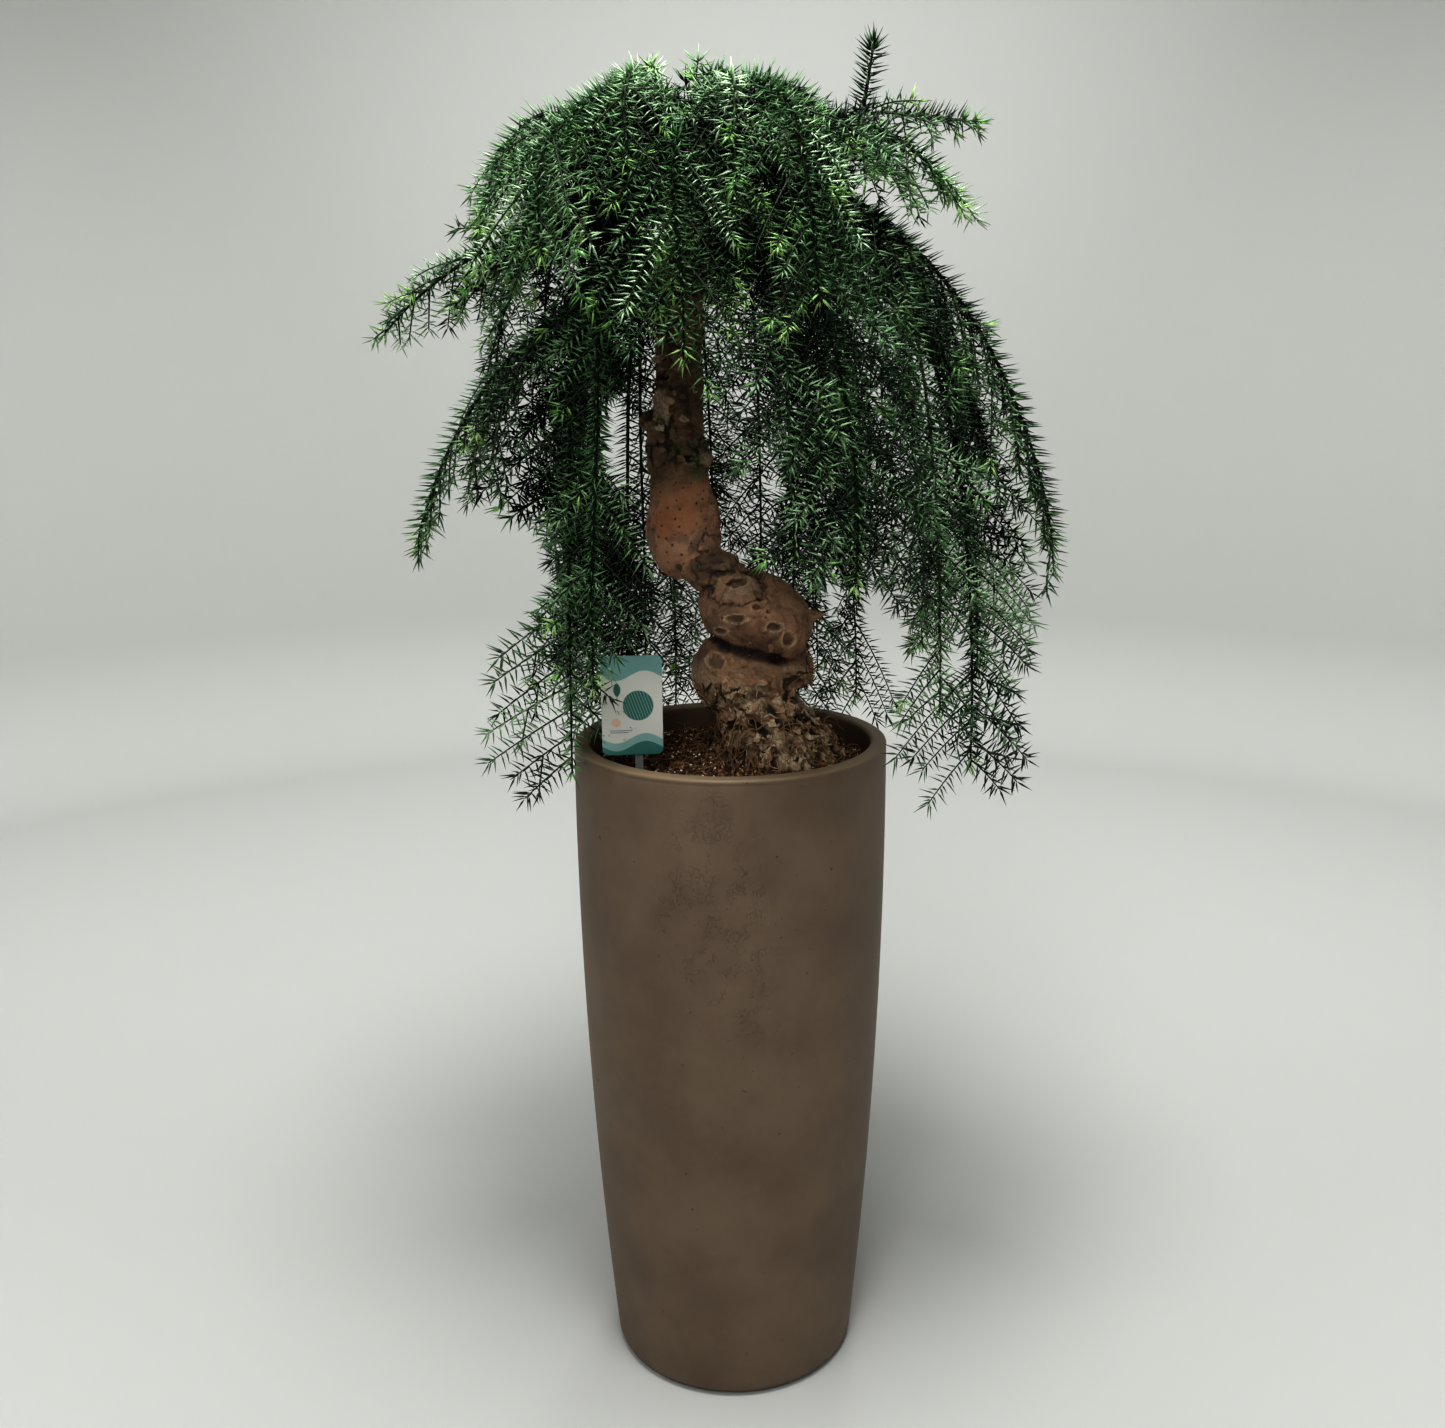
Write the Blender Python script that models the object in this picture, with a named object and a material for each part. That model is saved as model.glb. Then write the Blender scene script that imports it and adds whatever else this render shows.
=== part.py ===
"""A weeping hoop pine with a knotted trunk, growing in a round planter.

Metres, +Z up. The origin is the centre of the planter's flat underside, and -Y is the side seen first.
"""

import math
import random

import bpy
from mathutils import Matrix, Vector
from mathutils.bvhtree import BVHTree

SEED = 11
CLEAR = 0.0003

# Planter
POT_HEIGHT = 0.700
RIM_RADIUS = 0.163
WAIST_RADIUS = 0.157
FOOT_RADIUS = 0.132
FOOT_ROUND = 0.0145
WALL = 0.0165
FLOOR = 0.018
RIM_ROUND = 0.003
POT_SIDES = 40

# Soil
SOIL_TOP = 0.680
SOIL_FALL = 0.009
SOIL_FLAT_RADIUS = 0.118

# Trunk
TRUNK_SIDES = 16
FLARE_LOBES = 5
FLARE_DEPTH = 0.10
# Each row: height, centre x, centre y, half width in x, half width in y
FLARE = (
    (SOIL_TOP + CLEAR, 0.048, -0.010, 0.066, 0.060),
    (0.690, 0.049, -0.010, 0.060, 0.055),
    (0.707, 0.047, -0.009, 0.054, 0.050),
    (0.724, 0.037, -0.008, 0.049, 0.046),
    (0.745, 0.024, -0.007, 0.044, 0.043),
    (0.765, 0.014, -0.006, 0.038, 0.038),
)
UPPER_STEM = (
    (0.915, -0.047, 0.000, 0.024, 0.024),
    (0.950, -0.047, 0.000, 0.033, 0.032),
    (0.969, -0.049, 0.000, 0.030, 0.029),
    (0.990, -0.051, 0.000, 0.031, 0.030),
    (1.012, -0.052, 0.000, 0.027, 0.027),
    (1.040, -0.049, 0.000, 0.024, 0.024),
    (1.060, -0.048, 0.000, 0.024, 0.024),
    (1.085, -0.048, 0.000, 0.0225, 0.0225),
    (1.130, -0.045, 0.000, 0.0215, 0.0215),
    (1.180, -0.040, 0.000, 0.0205, 0.0205),
    (1.225, -0.036, 0.000, 0.0190, 0.0190),
    (1.262, -0.033, 0.000, 0.0160, 0.0160),
    (1.284, -0.031, 0.000, 0.0130, 0.0130),
    (1.304, -0.030, 0.000, 0.0080, 0.0080),
)
# Each row: centre, half sizes, lean about Y in degrees
BULBS = (
    ((0.014, -0.005, 0.770), (0.052, 0.048, 0.046), 8),
    ((0.026, -0.012, 0.832), (0.060, 0.051, 0.043), 24),
    ((0.058, -0.006, 0.778), (0.026, 0.028, 0.026), 0),
    ((-0.014, -0.002, 0.872), (0.046, 0.040, 0.022), 30),
    ((-0.046, 0.000, 0.922), (0.038, 0.036, 0.054), 4),
    ((-0.068, -0.004, 1.025), (0.017, 0.015, 0.014), 0),
)
SNAG_ROOT = Vector((0.050, -0.018, 0.826))
SNAG_TIP = Vector((0.098, -0.026, 0.835))
SNAG_RADIUS = 0.019

# Each frond: azimuth, height on the trunk, reach, height of its tip, climb, curl,
# turn of its flat side, droop of its side shoots, longest side shoot
FRONDS = {
    "left_spear": (186, 1.190, 0.276, 1.112, 0.10, 1.05, 0, 0.35, 0.080),
    "left_arch": (193, 1.130, 0.244, 0.902, 0.17, 1.80, 0, 1.30, 0.105),
    "left_fan": (210, 1.150, 0.126, 0.690, 0.25, 3.20, -60, 0.25, 0.098),
    "front_left_fan": (240, 1.165, 0.146, 0.785, 0.20, 2.80, -25, 0.30, 0.075),
    "left_crest": (199, 1.255, 0.194, 1.224, 0.26, 1.30, 0, 0.55, 0.090),
    "front_left_crest": (238, 1.262, 0.222, 1.171, 0.33, 1.60, 0, 0.60, 0.090),
    "front_crest": (268, 1.226, 0.210, 1.133, 0.30, 1.80, 0, 0.60, 0.080),
    "front_right_crest": (296, 1.262, 0.228, 1.132, 0.34, 1.60, 0, 0.60, 0.090),
    "front_right_fan": (303, 1.180, 0.246, 0.855, 0.22, 2.00, 20, 0.45, 0.100),
    "right_front_fan": (342, 1.185, 0.285, 0.682, 0.28, 2.00, 70, 0.30, 0.100),
    "right_arch": (352, 1.225, 0.352, 0.949, 0.15, 1.35, 0, 0.90, 0.100),
    "left_top": (204, 1.290, 0.115, 1.285, 0.27, 1.30, 0, 0.30, 0.080),
    "right_top": (322, 1.290, 0.130, 1.270, 0.24, 1.30, 0, 0.30, 0.080),
    "right_crest": (332, 1.245, 0.260, 1.224, 0.18, 1.15, 0, 0.60, 0.085),
    "top_right": (6, 1.266, 0.246, 1.305, 0.13, 1.05, 0, 0.45, 0.075),
    "right_back_fan": (20, 1.190, 0.318, 0.740, 0.22, 1.80, -60, 0.35, 0.098),
    "back_right_arch": (44, 1.225, 0.320, 0.935, 0.20, 1.50, 0, 0.80, 0.100),
    "back_right_fan": (64, 1.170, 0.215, 0.712, 0.25, 2.20, -20, 0.35, 0.095),
    "back_fan": (96, 1.190, 0.265, 0.745, 0.24, 2.00, 0, 0.40, 0.100),
    "back_crest": (78, 1.262, 0.235, 1.180, 0.34, 1.50, 0, 0.60, 0.090),
    "back_left_fan": (122, 1.160, 0.200, 0.712, 0.24, 2.20, 20, 0.35, 0.095),
    "back_left_arch": (142, 1.215, 0.300, 0.935, 0.20, 1.55, 0, 0.80, 0.100),
    "left_back_fan": (160, 1.150, 0.165, 0.735, 0.22, 2.40, 65, 0.35, 0.090),
    "back_left_crest": (136, 1.262, 0.225, 1.190, 0.32, 1.40, 0, 0.60, 0.090),
}
BOUGH_SHARE = 0.17
BOUGH_MOST = 0.085
BOUGH_RADII = (0.0068, 0.0036)
STEM_RADII = (0.0036, 0.0013)
STEM_STEP = 0.050
CROWN_TIP_HEIGHT = 0.024

# Side shoots
PAIR_STEP = 0.0605
SHOOT_ANGLE = 56
SHOOT_SCALE = 1.12
SPRAY_WIDTH = 0.0235
SPRAY_THICK = 0.0026
SPRAY_TEETH = 2
SHORTEST = 0.036
TEST_MARGIN = 0.0012
LEADER_AT = 0.64
LEADER_LENGTH = 0.066

# Label on its stake
CARD_SIZE = (0.060, 0.0012, 0.100)
CARD_ROUND = 0.006
CARD_CENTRE = Vector((-0.0965, -0.0900, 0.7560))
CARD_TURN = 4
STAKE_SIZE = (0.0080, 0.0016)
STAKE_LEAN = 0.006
STAKE_DEPTH = 0.030


def linear(code):
    """A colour written as sRGB hex, as linear red, green, blue and alpha."""
    parts = [int(code[i : i + 2], 16) / 255 for i in (0, 2, 4)]
    return tuple(c / 12.92 if c <= 0.04045 else ((c + 0.055) / 1.055) ** 2.4 for c in parts) + (1.0,)


def material(name, code, roughness):
    made = bpy.data.materials.new(name)
    made.use_nodes = True
    shader = made.node_tree.nodes["Principled BSDF"]
    shader.inputs["Base Color"].default_value = linear(code)
    shader.inputs["Roughness"].default_value = roughness
    return made


def add(name, points, faces, look=None):
    mesh = bpy.data.meshes.new(name)
    mesh.from_pydata([tuple(p) for p in points], [], faces)
    mesh.validate()
    if look is not None:
        mesh.materials.append(look)
    made = bpy.data.objects.new(name, mesh)
    bpy.context.scene.collection.objects.link(made)
    return made


def joined(name, pieces, look):
    """One body out of several that overlap."""
    held = bpy.data.collections.new(name + "_pieces")
    for number, (points, faces) in enumerate(pieces[1:]):
        piece = add(f"{name}_piece_{number}", points, faces)
        bpy.context.scene.collection.objects.unlink(piece)
        held.objects.link(piece)
    bpy.context.scene.collection.children.link(held)
    body = add(name, *pieces[0])
    union = body.modifiers.new("join", "BOOLEAN")
    union.operation = "UNION"
    union.solver = "EXACT"
    union.operand_type = "COLLECTION"
    union.collection = held
    graph = bpy.context.evaluated_depsgraph_get()
    mesh = bpy.data.meshes.new_from_object(body.evaluated_get(graph))
    body.modifiers.clear()
    body.data = mesh
    mesh.name = name
    mesh.materials.clear()
    mesh.materials.append(look)
    for piece in list(held.objects):
        bpy.data.objects.remove(piece)
    bpy.data.collections.remove(held)
    return body


def spun(profile, sides):
    """A profile of (radius, height) points turned about Z. It runs outwards, up and back in to the axis."""
    points, rings = [], []
    for radius, height in profile:
        if radius == 0:
            rings.append([len(points)])
            points.append((0, 0, height))
            continue
        rings.append(list(range(len(points), len(points) + sides)))
        for k in range(sides):
            a = 2 * math.pi * k / sides
            points.append((radius * math.cos(a), radius * math.sin(a), height))
    faces = []
    for low, high in zip(rings, rings[1:]):
        for k in range(sides):
            n = (k + 1) % sides
            if len(low) == 1:
                faces.append((low[0], high[n], high[k]))
            elif len(high) == 1:
                faces.append((low[k], low[n], high[0]))
            else:
                faces.append((low[k], low[n], high[n], high[k]))
    return points, faces


def tube(rings):
    """A closed skin over rings of points, each with the same number, with flat ends."""
    sides = len(rings[0])
    points = [p for ring in rings for p in ring]
    faces = [tuple(range(sides))[::-1]]
    for r in range(len(rings) - 1):
        for k in range(sides):
            n = (k + 1) % sides
            faces.append((r * sides + k, r * sides + n, (r + 1) * sides + n, (r + 1) * sides + k))
    last = (len(rings) - 1) * sides
    faces.append(tuple(last + k for k in range(sides)))
    return points, faces


def level_rings(rows, lobes=0.0):
    """Horizontal elliptical rings, with root lobes that fade upwards from the first row."""
    rings = []
    low, high = rows[0][0], rows[-1][0]
    for height, x, y, half_x, half_y in rows:
        fade = (1 - (height - low) / (high - low)) ** 2
        ring = []
        for k in range(TRUNK_SIDES):
            a = 2 * math.pi * k / TRUNK_SIDES
            swell = 1 + lobes * fade * math.cos(FLARE_LOBES * a + 0.6)
            ring.append(Vector((x + half_x * swell * math.cos(a), y + half_y * swell * math.sin(a), height)))
        rings.append(ring)
    return rings


def ellipsoid(centre, halves, lean, sides=14, levels=8):
    profile = [(math.sin(math.pi * i / levels), -math.cos(math.pi * i / levels)) for i in range(levels + 1)]
    profile[0] = (0, -1)
    profile[-1] = (0, 1)
    points, faces = spun(profile, sides)
    turn = Matrix.Rotation(math.radians(lean), 3, "Y")
    placed = [Vector(centre) + turn @ Vector(p[i] * halves[i] for i in range(3)) for p in points]
    return placed, faces


def trunk_point(azimuth, height):
    """The point of the upper stem's skin in a direction at a height."""
    rows = UPPER_STEM
    for below, above in zip(rows, rows[1:]):
        if height <= above[0]:
            break
    share = (height - below[0]) / (above[0] - below[0])
    x, y, half_x, half_y = (below[i] + (above[i] - below[i]) * share for i in (1, 2, 3, 4))
    return Vector((x + half_x * math.cos(azimuth), y + half_y * math.sin(azimuth), height))


class Frond:
    """The line that one bough and its foliage follow, measured by the distance along it."""

    def __init__(self, azimuth, height, reach, tip_height, climb, curl, turn, droop, shoot):
        angle = math.radians(azimuth)
        here = trunk_point(angle, height)
        along = trunk_point(angle, height + 0.002) - here
        around = trunk_point(angle + 0.02, height) - here
        self.normal = around.cross(along).normalized()
        self.start = here + self.normal * CLEAR
        self.turn, self.droop, self.shoot = math.radians(turn), droop, shoot
        out = Vector((math.cos(angle), math.sin(angle), 0))
        fall = climb + self.start.z - tip_height
        self.points, self.marks = [], [0.0]
        for i in range(81):
            t = i / 80
            point = self.start + out * (reach * (1 - (1 - t) ** curl))
            point.z += climb * t - fall * t * t
            if self.points:
                self.marks.append(self.marks[-1] + (point - self.points[-1]).length)
            self.points.append(point)
        self.length = self.marks[-1]
        self.bough = min(BOUGH_MOST, BOUGH_SHARE * self.length)
        first = self.bough + CLEAR
        steps = max(6, round((self.length - first) / STEM_STEP))
        self.stations = [first + (self.length - first) * i / steps for i in range(steps + 1)]

    def at(self, distance):
        """The point at a distance, the direction onwards and the direction across the flat side."""
        distance = min(max(distance, 0.0), self.length)
        i = 0
        while i < 79 and self.marks[i + 1] < distance:
            i += 1
        share = (distance - self.marks[i]) / (self.marks[i + 1] - self.marks[i])
        point = self.points[i].lerp(self.points[i + 1], share)
        before = self.points[max(i - 1, 0)]
        after = self.points[min(i + 2, 80)]
        onward = (after - before).normalized()
        level = Vector((self.points[-1] - self.points[0]).xy).to_3d()
        across = Vector((0, 0, 1)).cross(level).normalized()
        across = (across - onward * across.dot(onward)).normalized()
        across = Matrix.Rotation(self.turn * distance / self.length, 3, onward) @ across
        return point, onward, across


    def on_stem(self, distance):
        """As at, with the point moved onto the straight run between the stem's two nearest rings."""
        point, onward, across = self.at(distance)
        for low, high in zip(self.stations, self.stations[1:]):
            if low <= distance <= high:
                share = (distance - low) / (high - low)
                point = self.at(low)[0].lerp(self.at(high)[0], share)
        return point, onward, across


def round_ring(centre, onward, across, radius, sides, phase=0.0):
    up = onward.cross(across)
    turns = [phase + 2 * math.pi * k / sides for k in range(sides)]
    return [centre + (across * math.cos(a) + up * math.sin(a)) * radius for a in turns]


def bough_mesh(frond):
    """A six-sided limb whose root lies flat against the trunk."""
    rings = []
    steps = 4
    for i in range(steps + 1):
        share = i / steps
        point, onward, across = frond.at(frond.bough * share)
        radius = BOUGH_RADII[0] + (BOUGH_RADII[1] - BOUGH_RADII[0]) * share
        if i == 0:
            flat = (across - frond.normal * across.dot(frond.normal)).normalized()
            rings.append(round_ring(frond.start, frond.normal, flat, radius * 1.15, 6))
        else:
            rings.append(round_ring(point, onward, across, radius, 6))
    return tube(rings)


def stem_mesh(frond):
    """The three-sided stem that carries the side shoots, from just past the bough to the tip."""
    rings = []
    for distance in frond.stations:
        share = distance / frond.length
        point, onward, across = frond.at(distance)
        radius = STEM_RADII[0] + (STEM_RADII[1] - STEM_RADII[0]) * share
        rings.append(round_ring(point, onward, across, radius, 3, math.pi / 2))
    return tube(rings)


def spray_mesh(root, along, normal, length, width, thick):
    """A toothed blade: the needles of one shoot in outline, flat below and ridged above."""
    side = normal.cross(along).normalized()
    up = along.cross(side)
    right = [(0.0, 0.0)]
    for i in range(SPRAY_TEETH):
        share = (i + 0.75) / (SPRAY_TEETH + 0.6)
        reach = width * (0.62 + 0.38 * math.sin(math.pi * min(share + 0.12, 1.0)))
        right.append((length * share, reach))
        right.append((length * (share + 0.015), reach * 0.30))
    flat = right + [(length, 0.0)] + [(a, -b) for a, b in right[:0:-1]]
    count, middle = len(flat), len(right)
    points = [root + along * a + side * b - up * (thick / 2) for a, b in flat]
    points[0] = root - along * 0.0008
    points.append(root + along * (length * 0.10) + up * (thick / 2))
    faces = [(i, (i + 1) % count, count) for i in range(count)]
    faces.append((1, 0, count - 1))
    for i in range(1, middle - 1):
        faces.append((i + 1, i, count - i))
        faces.append((i + 1, count - i, count - i - 1))
    faces.append((middle, middle - 1, middle + 1))
    return points, faces


def tree_of(points, faces):
    return BVHTree.FromPolygons([tuple(p) for p in points], faces)


def box_of(points):
    return [min(p[i] for p in points) for i in range(3)], [max(p[i] for p in points) for i in range(3)]


def boxes_meet(a, b):
    return all(a[0][i] <= b[1][i] and b[0][i] <= a[1][i] for i in range(3))


class Space:
    """Everything placed so far, so that a new shoot can keep clear of what isn't its own."""

    def __init__(self):
        self.held = []

    def add(self, owner, points, faces):
        self.held.append((owner, box_of(points), tree_of(points, faces)))

    def free(self, owner, points, faces):
        box, tree = box_of(points), None
        for other, held_box, held_tree in self.held:
            if other == owner or not boxes_meet(box, held_box):
                continue
            tree = tree or tree_of(points, faces)
            if tree.overlap(held_tree):
                return False
        return True


def in_planter(points):
    return any(math.hypot(p[0], p[1]) < RIM_RADIUS + 0.004 and p[2] < POT_HEIGHT + 0.004 for p in points)


def shoot_length(frond, share):
    """The side shoots are short at both ends of a frond and longest a third of the way along it."""
    rise = min(1.0, 0.55 + share * 1.6)
    fall = 1.0 if share < 0.4 else 1 - 0.62 * (share - 0.4) / 0.6
    return frond.shoot * SHOOT_SCALE * rise * fall


def sprays_of(name, fronds, space, rng):
    """The blades of one mass: pairs along its stem, and one that carries on from its tip."""
    frond = fronds[name]
    pieces = []
    first = frond.bough + 0.012
    pairs = max(3, round((frond.length - first) / PAIR_STEP))
    sites = []
    for i in range(pairs):
        for side in (-1, 1):
            share = (i + 0.3 + 0.2 * side + rng.uniform(-0.1, 0.1)) / pairs
            sites.append((share, side))
    sites.append((1.0, 0))
    for share, side in sites:
        point, onward, across = frond.on_stem(first + (frond.length - first) * share)
        length = shoot_length(frond, max(share, 0.0)) * rng.uniform(0.88, 1.08)
        if side == 0:
            point, onward, across = frond.on_stem(frond.length - 0.010)
            along, length = onward, 0.036
        else:
            angle = math.radians(SHOOT_ANGLE + rng.uniform(-6, 6))
            along = onward * math.cos(angle) + across * (side * math.sin(angle))
            along = (along + Vector((0, 0, -1)) * frond.droop).normalized()
        normal = (onward.cross(along) if side else onward.cross(across)) * (side or 1)
        normal = (Matrix.Rotation(rng.uniform(-0.3, 0.3), 3, along) @ normal).normalized()
        while length > SHORTEST * (0.9 if side == 0 else 1):
            width = SPRAY_WIDTH * (1.0 if length > 0.05 else 0.85)
            test = spray_mesh(
                point, along, normal, length + TEST_MARGIN, width + TEST_MARGIN, SPRAY_THICK + TEST_MARGIN
            )
            tip = point + along * length
            own = (tip - point).length
            others = [other for key, other in fronds.items() if key != name]
            near = min((tip - p).length for other in others for p in other.points[8::4])
            if near > 0.6 * own and not in_planter(test[0]) and space.free(name, *test):
                pieces.append(spray_mesh(point, along, normal, length, width, SPRAY_THICK))
                space.add(name, *test)
                break
            length *= 0.82
    return pieces


def pot_mesh():
    """Nearly straight walls over a rounded foot, with a plain rim and a hollow inside."""
    foot = wall_radius(FOOT_ROUND)
    outer = [(0.0, 0.0), (foot - FOOT_ROUND, 0.0)]
    for degrees in (30, 60, 90):
        a = math.radians(degrees)
        outer.append((foot - FOOT_ROUND * (1 - math.sin(a)), FOOT_ROUND * (1 - math.cos(a))))
    for share in (0.12, 0.26, 0.42, 0.60, 0.80):
        height = FOOT_ROUND + (POT_HEIGHT - FOOT_ROUND) * share
        outer.append((wall_radius(height), height))
    outer.append((RIM_RADIUS, POT_HEIGHT - RIM_ROUND))
    outer.append((RIM_RADIUS - RIM_ROUND, POT_HEIGHT))
    inner = [(RIM_RADIUS - WALL + RIM_ROUND, POT_HEIGHT), (RIM_RADIUS - WALL, POT_HEIGHT - RIM_ROUND)]
    for share in (0.6, 0.25):
        height = FLOOR + (POT_HEIGHT - FLOOR) * share
        inner.append((wall_radius(height) - WALL, height))
    inner.append((wall_radius(FLOOR) - WALL - 0.008, FLOOR))
    inner.append((0.0, FLOOR))
    return spun(outer + inner, POT_SIDES)


def wall_radius(height):
    """The outer radius of the planter: a shallow curve through its foot, waist and rim."""
    t = height / POT_HEIGHT
    return FOOT_RADIUS * (1 - t) * (1 - 2 * t) + WAIST_RADIUS * 4 * t * (1 - t) + RIM_RADIUS * t * (2 * t - 1)


def soil_mesh():
    """The soil fills the planter, flat in the middle and a little lower at the wall."""
    wall_top = SOIL_TOP - SOIL_FALL
    profile = [(0.0, FLOOR + CLEAR), (wall_radius(FLOOR) - WALL - 0.008 - CLEAR, FLOOR + CLEAR)]
    for share in (0.25, 0.6):
        height = FLOOR + (POT_HEIGHT - FLOOR) * share
        profile.append((wall_radius(height) - WALL - CLEAR, height))
    corners = [(wall_radius(FLOOR + (POT_HEIGHT - FLOOR) * 0.6) - WALL, FLOOR + (POT_HEIGHT - FLOOR) * 0.6)]
    corners.append((RIM_RADIUS - WALL, POT_HEIGHT - RIM_ROUND))
    share = (wall_top - corners[0][1]) / (corners[1][1] - corners[0][1])
    edge = corners[0][0] + (corners[1][0] - corners[0][0]) * share - CLEAR
    profile += [(edge, wall_top), (SOIL_FLAT_RADIUS, SOIL_TOP), (0.0, SOIL_TOP)]
    return spun(profile, POT_SIDES)


def trunk_pieces():
    flare = tube(level_rings(FLARE, FLARE_DEPTH))
    stem = tube(level_rings(UPPER_STEM))
    onward = (SNAG_TIP - SNAG_ROOT).normalized()
    across = Vector((0, 1, 0))
    across = (across - onward * across.dot(onward)).normalized()
    snag = tube(
        [
            round_ring(SNAG_ROOT, onward, across, SNAG_RADIUS, 8),
            round_ring(SNAG_ROOT.lerp(SNAG_TIP, 0.6), onward, across, SNAG_RADIUS * 0.55, 8),
            round_ring(SNAG_TIP, onward, across, 0.0018, 8),
        ]
    )
    return [flare, stem, snag] + [ellipsoid(*bulb) for bulb in BULBS]


def card_mesh():
    """A thin upright card with rounded corners."""
    half_w, half_h = CARD_SIZE[0] / 2, CARD_SIZE[2] / 2
    corners = ((1, 1, 0), (-1, 1, 90), (-1, -1, 180), (1, -1, 270))
    outline = []
    for x, z, start in corners:
        for degrees in (0, 30, 60, 90):
            a = math.radians(start + degrees)
            outline.append(
                (
                    x * (half_w - CARD_ROUND) + CARD_ROUND * math.cos(a),
                    z * (half_h - CARD_ROUND) + CARD_ROUND * math.sin(a),
                )
            )
    turn = Matrix.Rotation(math.radians(CARD_TURN), 3, "Z")
    rings = []
    for y in (CARD_SIZE[1] / 2, -CARD_SIZE[1] / 2):
        rings.append([CARD_CENTRE + turn @ Vector((x, y, z)) for x, z in outline])
    return tube(rings)


def stake_mesh(grow=0.0):
    """The stake behind the card, from half way up the card down into the soil."""
    turn = Matrix.Rotation(math.radians(CARD_TURN), 3, "Z")
    half_w, half_t = STAKE_SIZE[0] / 2 + grow, STAKE_SIZE[1] / 2 + grow
    back = CARD_SIZE[1] / 2 + CLEAR + STAKE_SIZE[1] / 2
    foot = SOIL_TOP - STAKE_DEPTH - CARD_CENTRE.z - grow
    rings = []
    for z, narrow in ((foot, 0.4), (foot + 0.012, 1.0), (-CARD_SIZE[2] * 0.1, 1.0)):
        x = STAKE_LEAN
        ring = [(x - half_w * narrow, back - half_t), (x + half_w * narrow, back - half_t)]
        ring += [(x + half_w * narrow, back + half_t), (x - half_w * narrow, back + half_t)]
        rings.append([CARD_CENTRE + turn @ Vector((px, py, z)) for px, py in ring])
    return tube(rings)


def cut(body, cutter):
    """Takes a closed shape out of a body."""
    tool = add("cutter", *cutter)
    hole = body.modifiers.new("slot", "BOOLEAN")
    hole.operation = "DIFFERENCE"
    hole.solver = "EXACT"
    hole.object = tool
    graph = bpy.context.evaluated_depsgraph_get()
    mesh = bpy.data.meshes.new_from_object(body.evaluated_get(graph))
    body.modifiers.clear()
    body.data = mesh
    bpy.data.objects.remove(tool)


def tip_pieces(space, rng):
    """The growing tip of the trunk: a short upright stem with sprays around it."""
    top = UPPER_STEM[-1]
    foot = Vector((top[1], top[2], top[0] + CLEAR))
    onward, across = Vector((0, 0, 1)), Vector((1, 0, 0))
    rings = [
        round_ring(foot, onward, across, 0.0052, 3),
        round_ring(foot + onward * CROWN_TIP_HEIGHT, onward, across, 0.0015, 3),
    ]
    pieces = [tube(rings)]
    for i in range(6):
        turn = 2 * math.pi * i / 6 + 0.3
        lift = math.radians((52, 26)[i % 2] + rng.uniform(-4, 4))
        level = Vector((math.cos(turn), math.sin(turn), 0))
        along = level * math.cos(lift) + onward * math.sin(lift)
        point = foot + onward * (CROWN_TIP_HEIGHT * (0.75, 0.35)[i % 2])
        normal = level.cross(onward).cross(along).normalized()
        length = 0.052
        while length > 0.03:
            test = spray_mesh(point, along, normal, length + TEST_MARGIN, 0.0145, SPRAY_THICK + TEST_MARGIN)
            if space.free("crown_tip", *test):
                pieces.append(spray_mesh(point, along, normal, length, 0.013, SPRAY_THICK))
                space.add("crown_tip", *test)
                break
            length *= 0.82
    return pieces


def leader_pieces(frond, space):
    """The upright shoot that stands above the crown on one of the top boughs."""
    point, onward, across = frond.on_stem(frond.length * LEADER_AT)
    along = Vector((0.16, -0.02, 1.0)).normalized()
    side = onward.cross(along).normalized()
    rings = [
        round_ring(point, along, side, 0.0022, 3),
        round_ring(point + along * 0.058, along, side, 0.0012, 3),
    ]
    pieces = [tube(rings)]
    for i, (height, length) in enumerate(((0.012, 0.040), (0.030, 0.038))):
        for sign in (-1, 1):
            leaf = (along * 0.75 + side.cross(along) * (0.66 * sign)).normalized()
            pieces.append(spray_mesh(point + along * height, leaf, side, length, 0.009, SPRAY_THICK))
    pieces.append(spray_mesh(point + along * 0.050, along, side, LEADER_LENGTH - 0.050, 0.010, SPRAY_THICK))
    for points, faces in pieces:
        space.add("top_right", points, faces)
    return pieces


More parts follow.
